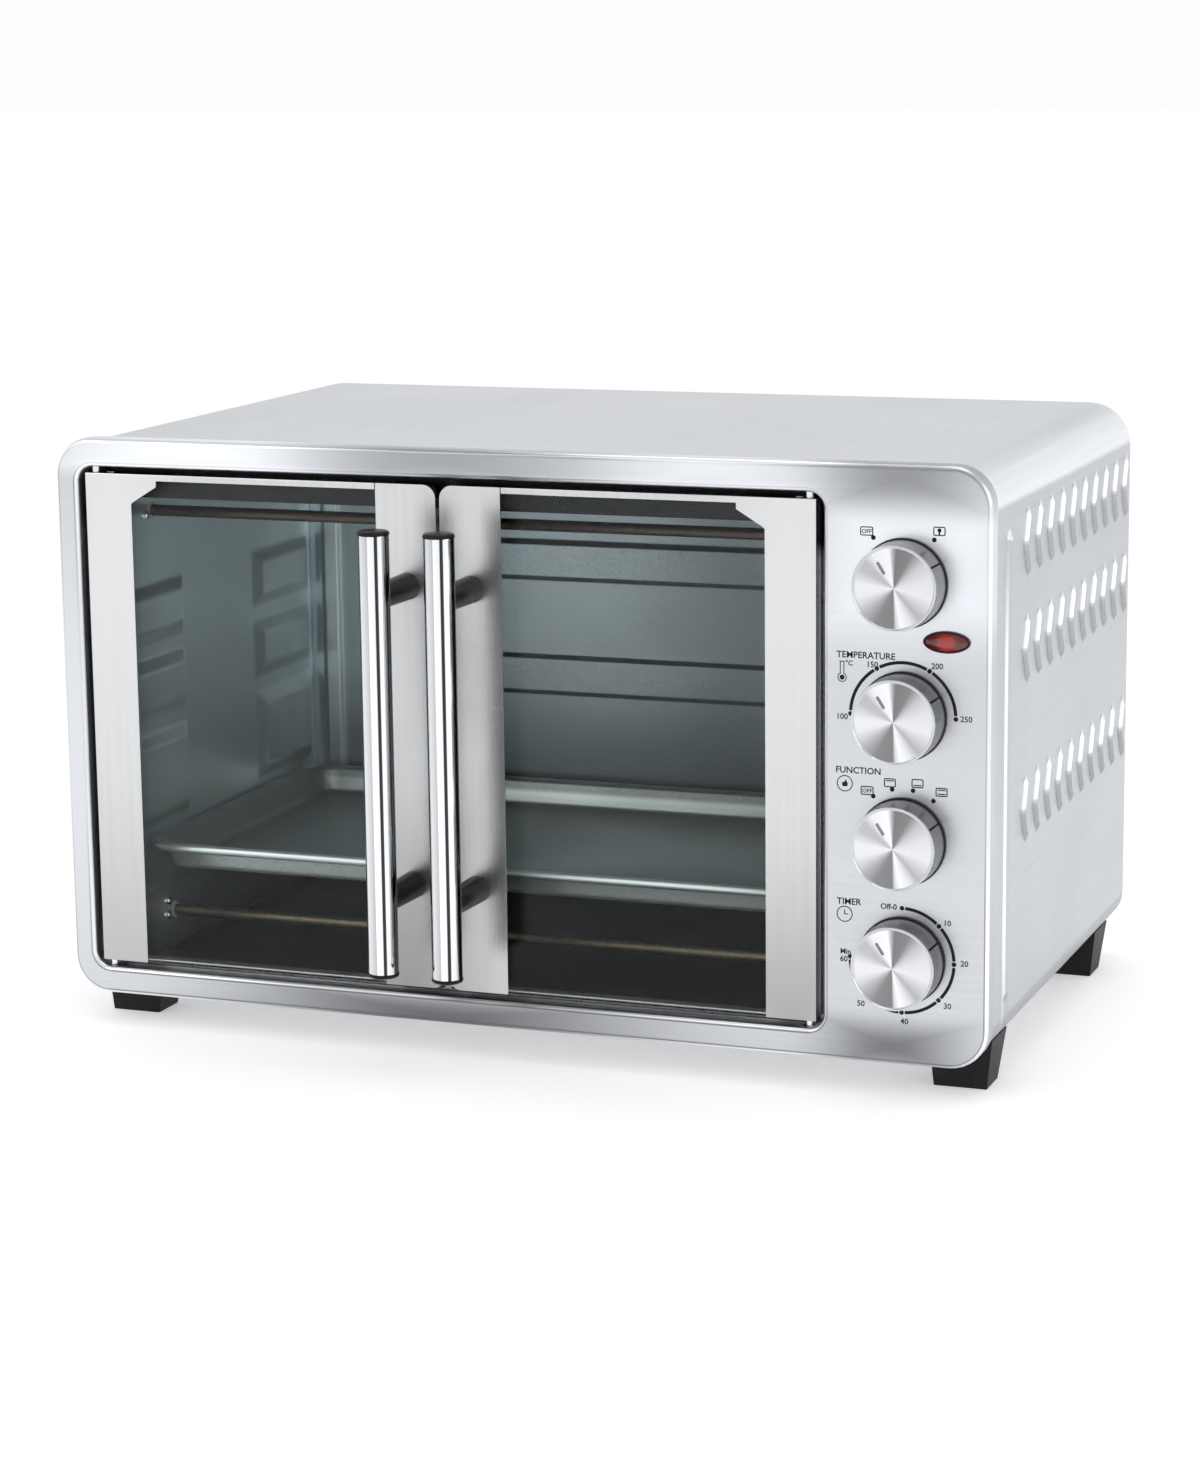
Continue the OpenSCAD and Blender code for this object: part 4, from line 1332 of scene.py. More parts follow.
@dataclass
class Cover:
    """Wrap-round cover with a stiffening bead and rows of lanced chevron louvres."""

    datum: Datum
    corner: float = 25.0
    low_corner: float = 20.5
    corner_steps: int = 8
    sheet: float = 1.0
    rear_round: float = 1.0
    rear_lip: float = 12.0
    base_half: float = 240.3
    louvre_rows: tuple[float, ...] = (276.0, 217.0, 127.5)
    louvre_count: int = 10
    louvre_pitch: float = 27.2
    louvre_knee: float = 76.0
    louvre_half: float = 19.0
    louvre_lean: float = 8.0
    louvre_steps: int = 16
    knee_round: float = 0.006
    end_share: float = 0.22
    hood: float = 2.4
    hood_steps: int = 4
    rise: float = 2.3
    slit: float = 1.1
    bead: tuple[Flat, Flat] = ((36.5, 28.0), (49.0, 288.0))
    bead_rise: float = 2.0

    def profile(self, inset: float) -> list[Flat]:
        """Give the cover's cross-section from its right foot flange round to its left one.

        Args:
            inset: Distance inwards.

        Returns:
            The points of the open outline.
        """
        low, high = self.datum.box("outer_cover")
        ring = round_outline(
            (low.x + inset, low.z + inset), (high.x - inset, high.z - inset),
            self.corner - inset, self.low_corner - inset, self.corner_steps,
        )
        return [(self.base_half, low.z + inset), *ring, (-self.base_half, low.z + inset)]

    def louvre(self, work: Work, x: float, y: float, z: float) -> list[int]:
        """Draw one louvre's raised hood.

        Args:
            work: The cover's mesh.
            x: The side's outer face.
            y: Where the chevron's knee meets the side.
            z: Height of the knee.

        Returns:
            The loop of the hole that the louvre needs in the side.
        """
        rows, rear = [], []
        for i in range(self.louvre_steps + 1):
            t = 2 * i / self.louvre_steps - 1
            lean = self.louvre_lean * (math.sqrt(t * t + self.knee_round) - math.sqrt(self.knee_round))
            rise = self.rise * smooth((1 - abs(t)) / self.end_share)
            height = z + self.louvre_half * t
            row = []
            for j in range(self.hood_steps + 1):
                s = j / self.hood_steps
                lift = rise * math.sin(math.pi / 2 * s) ** 0.9
                row.append((x + lift, y + lean + self.hood * s, height))
            rows.append(work.ring(row))
            if 0 < i < self.louvre_steps:
                gap = self.slit * min(1.0, 6 * (1 - abs(t)))
                rear.append((x, y + lean + self.hood + gap, height))
        work.loft(rows, closed=False)
        behind = work.ring(rear)
        return [row[0] for row in rows] + rows[-1][1:] + behind[::-1] + rows[0][:0:-1]

    def side(self, work: Work, corners: Sequence[int]) -> None:
        """Draw the flat right side with its louvres and bead.

        Args:
            work: The cover's mesh.
            corners: The four corners of the flat side, in order.
        """
        x = self.datum.box("outer_cover")[1].x
        holes = [
            self.louvre(work, x, self.louvre_knee + i * self.louvre_pitch, z)
            for z in self.louvre_rows
            for i in range(self.louvre_count)
        ]
        (y0, z0), (y1, z1) = self.bead
        half = (y1 - y0) / 2
        rings = []
        for share in (0, 0.12, 0.25, 0.4, 0.55, 0.7, 0.85, 0.96):
            k = share * half
            ring = round_outline((y0 + k, z0 + k), (y1 - k, z1 - k), half - k)
            lift = self.bead_rise * smooth(share) ** 0.8
            rings.append(work.ring((x + lift, y, z) for y, z in ring))
        work.loft(rings)
        work.fill([rings[-1]])
        work.fill([list(corners), *holes, rings[0]])

    def build(self) -> bpy.types.Object:
        """Build the cover.

        Returns:
            The cover.
        """
        work = Work(self.datum)
        low, high = self.datum.box("outer_cover")
        rear = high.y - self.sheet
        stations = [(0.0, low.y), (0.0, rear - self.rear_round)]
        stations += [(i, rear - y) for y, i in quarter(self.rear_round, 4)][1:]
        stations.append((self.rear_lip, rear))
        rows = [work.ring((x, y, z) for x, z in self.profile(inset)) for inset, y in stations]
        flat = self.corner_steps + 1
        for first, second in zip(rows, rows[1:]):
            for i in range(len(first) - 1):
                if first is rows[0] and i == flat:
                    continue
                work.faces.append((first[i], first[i + 1], second[i + 1], second[i]))
        self.side(work, (rows[0][flat], rows[0][flat + 1], rows[1][flat + 1], rows[1][flat]))
        label = Label("outer_cover_shell", "casing", "cover_steel", ("outer_cover",))
        return work.piece(label, Finishes.COVER, thick=self.sheet, facing=(900.0, 150.0, 600.0))


@dataclass
class Screws:
    """Pan-head screws with a cross recess; each set lists where its screws sit."""

    datum: Datum
    head_rise: float = 2.2
    steps: int = 32
    foot_seats: tuple[Flat, ...] = tuple((x, y) for x in (-252.0, 252.0) for y in (45.0, 295.0))
    foot_seat_z: float = -9.8
    rear_seats: tuple[Flat, ...] = (
        (-200.0, 317.5), (0.0, 317.5), (200.0, 317.5),
        (-266.5, 60.0), (-266.5, 230.0), (266.5, 60.0), (266.5, 230.0),
    )
    wall_seats: tuple[Flat, ...] = ((56.0, 275.0), (208.0, 275.0), (66.0, 32.0), (194.0, 32.0), (67.0, 40.5))
    handle_seats: Flat = (79.0, 249.0)

    def head(self, work: Work, at: Vector, axis: Vector, radius: float, shank: float) -> None:
        """Draw one screw.

        Args:
            work: The mesh it goes in.
            at: The middle of the head's underside.
            axis: The way the head points.
            radius: The head's radius.
            shank: Length of the shank behind the head.
        """
        side = axis.orthogonal().normalized()
        other = axis.cross(side)

        def place(a: float, b: float, height: float) -> Point:
            """Turn the screw's own axes into the datum's."""
            return tuple(at + side * a + other * b + axis * height)

        profile = [
            (0, -shank), (radius * 0.42, -shank), (radius * 0.48, 0), (radius, 0),
            (radius, self.head_rise * 0.4), (radius * 0.9, self.head_rise * 0.75),
            (radius * 0.66, self.head_rise),
        ]
        work.turn(profile, place, self.steps)
        rim = list(range(len(work.points) - self.steps, len(work.points)))
        arm, half = radius * 0.56, radius * 0.13
        cross = []
        for turn in range(4):
            c, s = math.cos(math.pi / 2 * turn), math.sin(math.pi / 2 * turn)
            cross += [(a * c - b * s, a * s + b * c) for a, b in ((arm, -half), (arm, half), (half, half))]
        top = work.ring(place(a, b, self.head_rise) for a, b in cross)
        floor = work.ring(place(a * 0.7, b * 0.7, self.head_rise * 0.35) for a, b in cross)
        work.strip(top, floor)
        work.fill([rim, top])
        work.fill([floor])

    def build(self) -> None:
        """Build the casing's, the elements' and the handles' screws."""
        casing = Work(self.datum)
        for x, y in self.foot_seats:
            self.head(casing, Vector((x, y, self.foot_seat_z)), Vector((0, 0, -1)), 4.0, 14.0)
        rear = self.datum.box("rear_cover")[1].y
        for x, z in self.rear_seats:
            self.head(casing, Vector((x, rear, z)), Vector((0, 1, 0)), 3.2, 6.0)
        casing.piece(Label("case_screw_set", "casing", "screws", ("case_screws",)), Finishes.SCREW)
        elements = Work(self.datum)
        left, right = self.datum.box("cavity_floor")
        for y, z in self.wall_seats:
            self.head(elements, Vector((left.x + 1, y, z)), Vector((1, 0, 0)), 2.7, 4.0)
            self.head(elements, Vector((right.x - 1, y, z)), Vector((-1, 0, 0)), 2.7, 4.0)
        elements.piece(Label("element_screw_set", "casing", "screws", ("element_screws",)), Finishes.SCREW)
        for side in Side:
            node = side.value + "_handle_screws"
            low, high = self.datum.box(node)
            work = Work(self.datum)
            for z in self.handle_seats:
                seat = Vector(((low.x + high.x) / 2, high.y - self.head_rise, z))
                self.head(work, seat, Vector((0, 1, 0)), 3.8, 24.0)
            label = Label(node + "_pair", side.value + "_door", "screws", (node,))
            work.piece(label, Finishes.SCREW)


# ---- cavity ----


def ramp_height(t: float) -> float:
    """Profile of a pressed bevel: nearly straight, eased at both ends."""
    t = min(1.0, max(0.0, t))
    return 0.65 * t + 0.35 * smooth(t)


def stations(low: float, high: float, edges: Iterable[Flat], spacing: float = 12.0) -> list[float]:
    """Give grid lines over a span, close together on its bevels.

    Args:
        low: Start of the span.
        high: End of the span.
        edges: Starts and ends of the bevels.
        spacing: Widest step elsewhere.

    Returns:
        The lines in order.
    """
    lines = {low, high}
    for start, end in edges:
        step = (end - start) / 5
        lines.update(start + step * i for i in range(-1, 7))
    ordered = sorted(v for v in lines if low <= v <= high)
    filled = []
    for first, second in zip(ordered, ordered[1:]):
        count = max(1, math.ceil((second - first) / spacing))
        filled += [first + (second - first) * i / count for i in range(count)]
    return filled + [high]


def bevels(spans: Iterable[Flat], width: float) -> list[Flat]:
    """Give the bevels at both ends of pressed spans.

    Args:
        spans: Start and end of each span.
        width: Width of a bevel, inside its span.

    Returns:
        Start and end of each bevel.
    """
    return [bevel for low, high in spans for bevel in ((low, low + width), (high - width, high))]


@dataclass
class Cavity:
    """Oven lining: side walls with rack pads, and a back with two wide ribs and two upright strips.

    Spans of the pads and ribs are heights, reaches are depths, and the rest are distances from the
    nearer side wall. The box of the lining is taken from its CAD neighbours.
    """

    datum: Datum
    front: float = 15.5
    sheet: float = 1.0
    thick: float = 0.8
    pad: float = 4.0
    bevel: float = 8.0
    levels: tuple[Flat, ...] = ((199.0, 234.0), (154.0, 190.0), (90.0, 145.0), (50.0, 83.0))
    reaches: tuple[Flat, ...] = ((23.5, 100.0), (194.0, 275.0))
    ribs: tuple[Flat, ...] = ((137.0, 163.0), (210.0, 236.0))
    rib: float = 2.5
    rib_bevel: float = 3.0
    rib_margin: float = 35.0
    strip: Flat = (8.0, 22.0)
    strip_span: Flat = (16.0, 299.0)
    strip_rise: float = 1.5
    left: float = field(init=False)
    right: float = field(init=False)
    floor: float = field(init=False)
    top: float = field(init=False)
    rear: float = field(init=False)

    def __post_init__(self) -> None:
        """Find the lining's inner faces."""
        low, high = self.datum.box("cavity_floor")
        self.left, self.right = low.x + self.sheet, high.x - self.sheet
        self.floor, self.rear = high.z, high.y - self.sheet
        self.top = self.datum.box("cavity_top")[1].z - self.sheet

    def pads(self, y: float, z: float) -> float:
        """Give the height of a side wall's pads.

        Args:
            y: Depth of a place on the wall.
            z: Its height.

        Returns:
            How far the wall is pressed inwards there.
        """
        best = 0.0
        for low, high in self.levels:
            for near, far in self.reaches:
                inside = min(y - near, far - y, z - low, high - z)
                best = max(best, ramp_height(inside / self.bevel))
        return best * self.pad

    def strips(self) -> tuple[Flat, Flat]:
        """Give the back's upright strips from left to right."""
        near, far = self.strip
        return (self.left + near, self.left + far), (self.right - far, self.right - near)

    def back_relief(self, x: float, z: float) -> float:
        """Give the height of the back's ribs and strips.

        Args:
            x: A place across the back.
            z: Its height.

        Returns:
            How far the back is pressed towards the front there.
        """
        best = 0.0
        for low, high in self.ribs:
            inside = min(x - self.left - self.rib_margin, self.right - self.rib_margin - x, z - low, high - z)
            best = max(best, self.rib * ramp_height(inside / self.rib_bevel))
        for near, far in self.strips():
            inside = min(x - near, far - x, z - self.strip_span[0], self.strip_span[1] - z)
            best = max(best, self.strip_rise * ramp_height(inside / self.rib_bevel))
        return best

    def sheet_piece(self, node: str, work: Work, rows: Sequence[Sequence[int]], facing: Point) -> None:
        """Join rows of points into one pressed sheet.

        Args:
            node: The CAD node that it stands for.
            work: The sheet's mesh.
            rows: Its rows.
            facing: A point that its front side faces.
        """
        work.loft(rows, closed=False)
        label = Label(node + "_pressing", "casing", "cavity_steel", (node,))
        work.piece(label, Finishes.CAVITY, thick=self.thick, facing=facing)

    def wall(self, side: Side) -> None:
        """Build one side wall.

        Args:
            side: Left or right.
        """
        face, inward = (self.left, 1) if side is Side.LEFT else (self.right, -1)
        ys = stations(self.front, self.rear, bevels(self.reaches, self.bevel))
        zs = stations(self.floor, self.top, bevels(self.levels, self.bevel))
        work = Work(self.datum)
        rows = [work.ring((face + inward * self.pads(y, z), y, z) for y in ys) for z in zs]
        self.sheet_piece(f"cavity_{side.value}_wall", work, rows, ((self.left + self.right) / 2, 120, 150))

    def back(self) -> None:
        """Build the ribbed back."""
        ribbed = (self.left + self.rib_margin, self.right - self.rib_margin)
        xs = stations(self.left, self.right, bevels((*self.strips(), ribbed), self.rib_bevel))
        zs = stations(self.floor, self.top, bevels(self.ribs, self.rib_bevel))
        work = Work(self.datum)
        rows = [work.ring((x, self.rear - self.back_relief(x, z), z) for x in xs) for z in zs]
        self.sheet_piece("cavity_back", work, rows, ((self.left + self.right) / 2, 0, 150))

    def build(self) -> None:
        """Build the lining's visible walls."""
        for side in Side:
            self.wall(side)
        self.back()


@dataclass
class BakeTray:
    """Enamelled baking tray with a rolled rim and sloping, rounded walls."""

    datum: Datum
    corner: float = 24.0
    roll: float = 2.4
    rim: float = 9.0
    bend: float = 2.5
    slope: float = 3.0
    sheet: float = 0.8
    foot: float = 5.0

    def profile(self) -> list[Flat]:
        """Give the section as pairs of inset and drop below the rim, upper side then under side.

        Returns:
            The pairs in order, from the middle of the floor's edge round to it again.
        """
        low, high = self.datum.box("bake_tray")
        depth = high.z - low.z
        flat_end, foot_end = self.rim - self.bend, self.rim + self.slope
        foot_z = depth - self.sheet - self.foot
        upper = [(self.roll, 0.0), (flat_end, 0.25)]
        upper += [
            (flat_end + self.bend * math.sin(a), 0.25 + self.bend * (1 - math.cos(a)))
            for a in (0.5, 1.0, 1.4)
        ]
        upper.append((foot_end, foot_z))
        upper += [
            (foot_end + self.foot * (1 - math.cos(a)), foot_z + self.foot * math.sin(a))
            for a in (0.4, 0.8, 1.2, math.pi / 2)
        ]
        bead = [
            (self.roll - self.roll * math.sin(a), self.roll - self.roll * math.cos(a))
            for a in (0.0, 0.5, 1.0, 1.57, 2.1, 2.6, 3.14, 3.8, 4.3)
        ]
        under = []
        for inset, drop in upper[1:]:
            inset += self.sheet if drop > 1 else 0.3
            drop += self.sheet
            if drop > 2 * self.sheet and inset > self.rim:
                inset -= 2 * self.sheet
            under.append((inset, min(drop, depth)))
        return upper[::-1] + bead[1:] + under

    def build(self) -> bpy.types.Object:
        """Build the tray.

        Returns:
            The tray.
        """
        low, high = self.datum.box("bake_tray")
        work = Work(self.datum)
        rows = []
        for inset, drop in self.profile():
            ring = round_outline(
                (low.x + inset, low.y + inset), (high.x - inset, high.y - inset),
                max(6.0, self.corner - inset), steps=10,
            )
            rows.append(work.ring((x, y, high.z - drop) for x, y in ring))
        work.loft(rows)
        work.fill([rows[0]])
        work.fill([rows[-1]])
        label = Label("bake_tray_pan", "bake_tray", "tray_enamel", ("bake_tray",))
        return work.piece(label, Finishes.TRAY, sharp=50)


# ---- doors ----


@dataclass
class Door:
    """One glass door: handle tube with its caps, and the plates that are carried over."""

    datum: Datum
    side: Side
    wall: float = 1.2
    cap: float = 2.5
    # Painted reflection of the chrome tube: dark and bright stripes set by angle round its axis.
    painted_reflection_bands: Stops = (
        (-180, 0.5), (-142, 0.82), (-120, 0.3), (-112, 0.55), (-95, 0.9), (-70, 1.0),
        (0, 0.7), (68, 0.1), (84, 0.05), (96, 0.07), (106, 0.25), (112, 0.85), (141, 0.95),
        (143, 0.06), (154, 0.03), (156, 0.9), (180, 1.0),
    )

    def node(self, part: str) -> str:
        """Give the CAD node of one of this door's parts."""
        return f"{self.side.value}_{part}"

    def label(self, name: str, part: str, slot: str) -> Label:
        """Name a new piece of this door after the node it stands for."""
        return Label(self.node(name), self.side.value + "_door", slot, (self.node(part),))

    def tube(self) -> None:
        """Build the chromed tube, its ends slightly rolled."""
        low, high = self.datum.box(self.node("handle_tube"))
        x, y, r = (low.x + high.x) / 2, (low.y + high.y) / 2, (high.x - low.x) / 2
        work = Work(self.datum)
        end = [(r - self.wall, 0.0), (r - 0.5, 0.0), (r - 0.1, 0.3), (r, 0.8)]
        profile = [(a, low.z + h) for a, h in end]
        profile += [(r, low.z + (high.z - low.z) * i / 12) for i in range(1, 12)]
        profile += [(a, high.z - h) for a, h in reversed(end)]
        profile.append(profile[0])
        work.turn(profile, along_z(x, y), 96)
        centre = tuple(self.datum.world((x, y, 0)))
        chrome = BandedChrome(
            self.side.value + "_tube_chrome", (0.93, 0.94, 0.95), 0.08, centre=centre, painted_reflection_bands=self.painted_reflection_bands
        )
        work.piece(self.label("handle_bar", "handle_tube", "handle_chrome"), chrome)

    def caps(self) -> None:
        """Build the domed end caps with their plugs."""
        low, high = self.datum.box(self.node("handle_caps"))
        x, y, r = (low.x + high.x) / 2, (low.y + high.y) / 2, (high.x - low.x) / 2
        work = Work(self.datum)
        plug = r - 0.3 - self.wall - 0.1
        for end, sign in ((low.z, 1), (high.z, -1)):
            profile = [
                (0, 0), (r * 0.55, 0.05), (r - 1.2, 0.35), (r - 0.4, 0.8), (r, 1.5), (r, self.cap),
                (plug, self.cap), (plug, self.cap + 7), (plug - 0.8, self.cap + 8), (0, self.cap + 8),
            ]
            work.turn([(a, end + sign * h) for a, h in profile], along_z(x, y), 64)
        work.piece(self.label("handle_end_caps", "handle_caps", "black_plastic"), Finishes.BLACK)

    def build(self) -> None:
        """Build the door's turned parts and dress its carried-over ones."""
        self.tube()
        self.caps()
        Carried(Finishes.DOOR, (self.node("hinge_stile"), self.node("handle_plate")), 0.35).dress()
        Carried(Finishes.GLASS, (self.node("glass"),), 0.0).dress()
        Carried(Finishes.BLACK, (self.node("hinge_blocks"),), 0.4).dress()
        Carried(Finishes.BLACK, (self.node("handle_standoffs"),), 0.0).dress()
        Carried(Finishes.PIN, (self.node("hinge_pins"),), 0.4).dress()


# ---- controls ----

KNOBS = ("light", "temperature", "function", "timer")


@dataclass
class Knob:
    """Turned metal knob: skirt with four grooves, chrome ring, spun face and pointer."""

    datum: Datum
    name: str
    pointer: float = -33.0
    grooves: tuple[float, ...] = (-30.0, 60.0, 150.0, 240.0)
    groove_half: float = 0.45
    groove_deep: float = 0.9
    ring_inset: float = 1.25
    ring_width: float = 1.7
    face_drop: float = 0.75
    # Painted shine of the spun face: painted highlights and painted shade set by angle round the axis.
    painted_shine_wedges: Stops = (
        (-180, 0.3), (-152, 0.34), (-130, 0.62), (-105, 1.08), (-85, 1.12), (-62, 0.72), (-48, 0.7),
        (-34, 1.12), (-8, 1.2), (-2, 0.62), (4, 0.28), (28, 0.32), (48, 0.75), (75, 1.0), (104, 1.1),
        (122, 0.85), (138, 0.62), (152, 1.0), (168, 1.22), (176, 0.85), (180, 0.3),
    )

    x: float = field(init=False)
    z: float = field(init=False)
    radius: float = field(init=False)
    length: float = field(init=False)

    def __post_init__(self) -> None:
        """Find the knob's axis, and its radius and length in front of the panel."""
        low, high = self.datum.box(self.name + "_knob")
        self.x, self.z = (low.x + high.x) / 2, (low.z + high.z) / 2
        self.radius, self.length = (high.x - low.x) / 2, -low.y

    def label(self, part: str, slot: str, nodes: tuple[str, ...] = ()) -> Label:
        """Name one of this knob's pieces."""
        return Label(f"{self.name}_knob_{part}", self.name + "_control", slot, nodes)

    def skirt(self) -> None:
        """Build the skirt; grooves are cut in it by stepping its radius."""
        r, length = self.radius, self.length
        angles = {2 * math.pi * i / 72: 0.0 for i in range(72)}
        for groove in self.grooves:
            centre = math.radians(90 - groove) % (2 * math.pi)
            for offset, deep in ((-1.25, 0.0), (-1.0, 1.0), (1.0, 1.0), (1.25, 0.0)):
                angle = (centre + offset * self.groove_half / (r - 1)) % (2 * math.pi)
                angles[angle] = deep
        ordered = sorted(angles.items())
        profile = [
            (r - 2.6, 1.6, 0), (r - 0.9, 1.6, 0), (r - 0.7, 2.0, 1), (r - 1.2, length - 2.0, 1),
            (r - 1.5, length - 1.4, 1), (r - 2.4, length - 1.4, 0), (r - 2.4, 1.6, 0),
        ]
        work = Work(self.datum)
        rows = []
        for radius, height, cut in profile:
            reaches = [(a, radius - cut * deep * self.groove_deep) for a, deep in ordered]
            rows.append(work.ring(
                (self.x + reach * math.cos(a), -height, self.z + reach * math.sin(a)) for a, reach in reaches
            ))
        work.loft(rows)
        work.piece(self.label("skirt", "knob_metal", (self.name + "_knob",)), Finishes.SKIRT)

    def base(self) -> None:
        """Build the black ring between the skirt and the panel."""
        r = self.radius
        work = Work(self.datum)
        profile = [
            (r - 3.5, 0.6), (r - 0.3, 0.6), (r, 0.9), (r, 1.5), (r - 0.3, 1.75), (r - 3.5, 1.75),
            (r - 3.5, 0.6),
        ]
        work.turn(profile, to_front(self.x, self.z), 96)
        work.piece(self.label("base", "black_plastic"), Finishes.BASE_RING)

    def ring(self) -> None:
        """Build the chrome ring round the face."""
        outer, length, w = self.radius - self.ring_inset, self.length, self.ring_width
        profile = [
            (outer - w, length - 1.6), (outer - 0.1, length - 1.6), (outer, length - 1.3),
            (outer, length - 0.5), (outer - 0.15, length - 0.15), (outer - 0.5, length),
            (outer - 0.9, length - 0.05), (outer - 1.2, length - 0.45), (outer - w, length - 0.55),
            (outer - w, length - 1.6),
        ]
        work = Work(self.datum)
        work.turn(profile, to_front(self.x, self.z), 96)
        work.piece(self.label("ring", "handle_chrome"), Finishes.RING)

    def bar(self, half: float, start: float, end: float) -> list[Flat]:
        """Draw the pointer's outline.

        Args:
            half: Half its width.
            start: Distance from the axis where it starts.
            end: Distance where it ends.

        Returns:
            The outline's points.
        """
        angle = math.radians(90 - self.pointer)
        c, s = math.cos(angle), math.sin(angle)
        points = []
        for i in range(12):
            turn = math.pi * 2 * i / 12 + math.pi / 12
            middle = end - half if math.cos(turn) > 0 else start + half
            reach, side = middle + half * math.cos(turn), half * math.sin(turn)
            points.append((self.x + reach * c - side * s, self.z + reach * s + side * c))
        return points

    def face(self) -> None:
        """Build the spun face with the pointer sunk in it."""
        x, z, r = self.x, self.z, self.radius
        edge, height = r - self.ring_inset - self.ring_width + 0.15, self.length - self.face_drop
        work = Work(self.datum)
        rim = work.ring((a, -height, b) for a, b in circle_outline((x, z), edge, 96))
        back = work.ring((a, -height + 1.5, b) for a, b in circle_outline((x, z), edge, 96))
        slot_top = work.ring((a, -height, b) for a, b in self.bar(0.85, r * 0.36, r * 0.68))
        slot_low = work.ring((a, -height + 0.6, b) for a, b in self.bar(0.75, r * 0.365, r * 0.675))
        work.strip(rim, back)
        work.strip(slot_top, slot_low)
        work.fill([rim, slot_top])
        work.fill([slot_low])
        work.fill([back])
        centre = tuple(self.datum.world((x, 0, z)))
        spun = SpunMetal(
            self.name + "_knob_spun_face", (0.72, 0.72, 0.73), 0.3, centre=centre, painted_shine_wedges=self.painted_shine_wedges
        )
        work.piece(self.label("face", "knob_metal"), spun)
        mark = Work(self.datum)
        outline = self.bar(0.7, r * 0.37, r * 0.67)
        mark.prism(outline, -height + 0.55, -height + 0.3, lambda p, y: (p[0], y, p[1]))
        mark.piece(self.label("pointer", "black_plastic"), Finishes.POINTER)

    def build(self) -> None:
        """Build the knob."""
        self.base()
        self.skirt()
        self.ring()
        self.face()


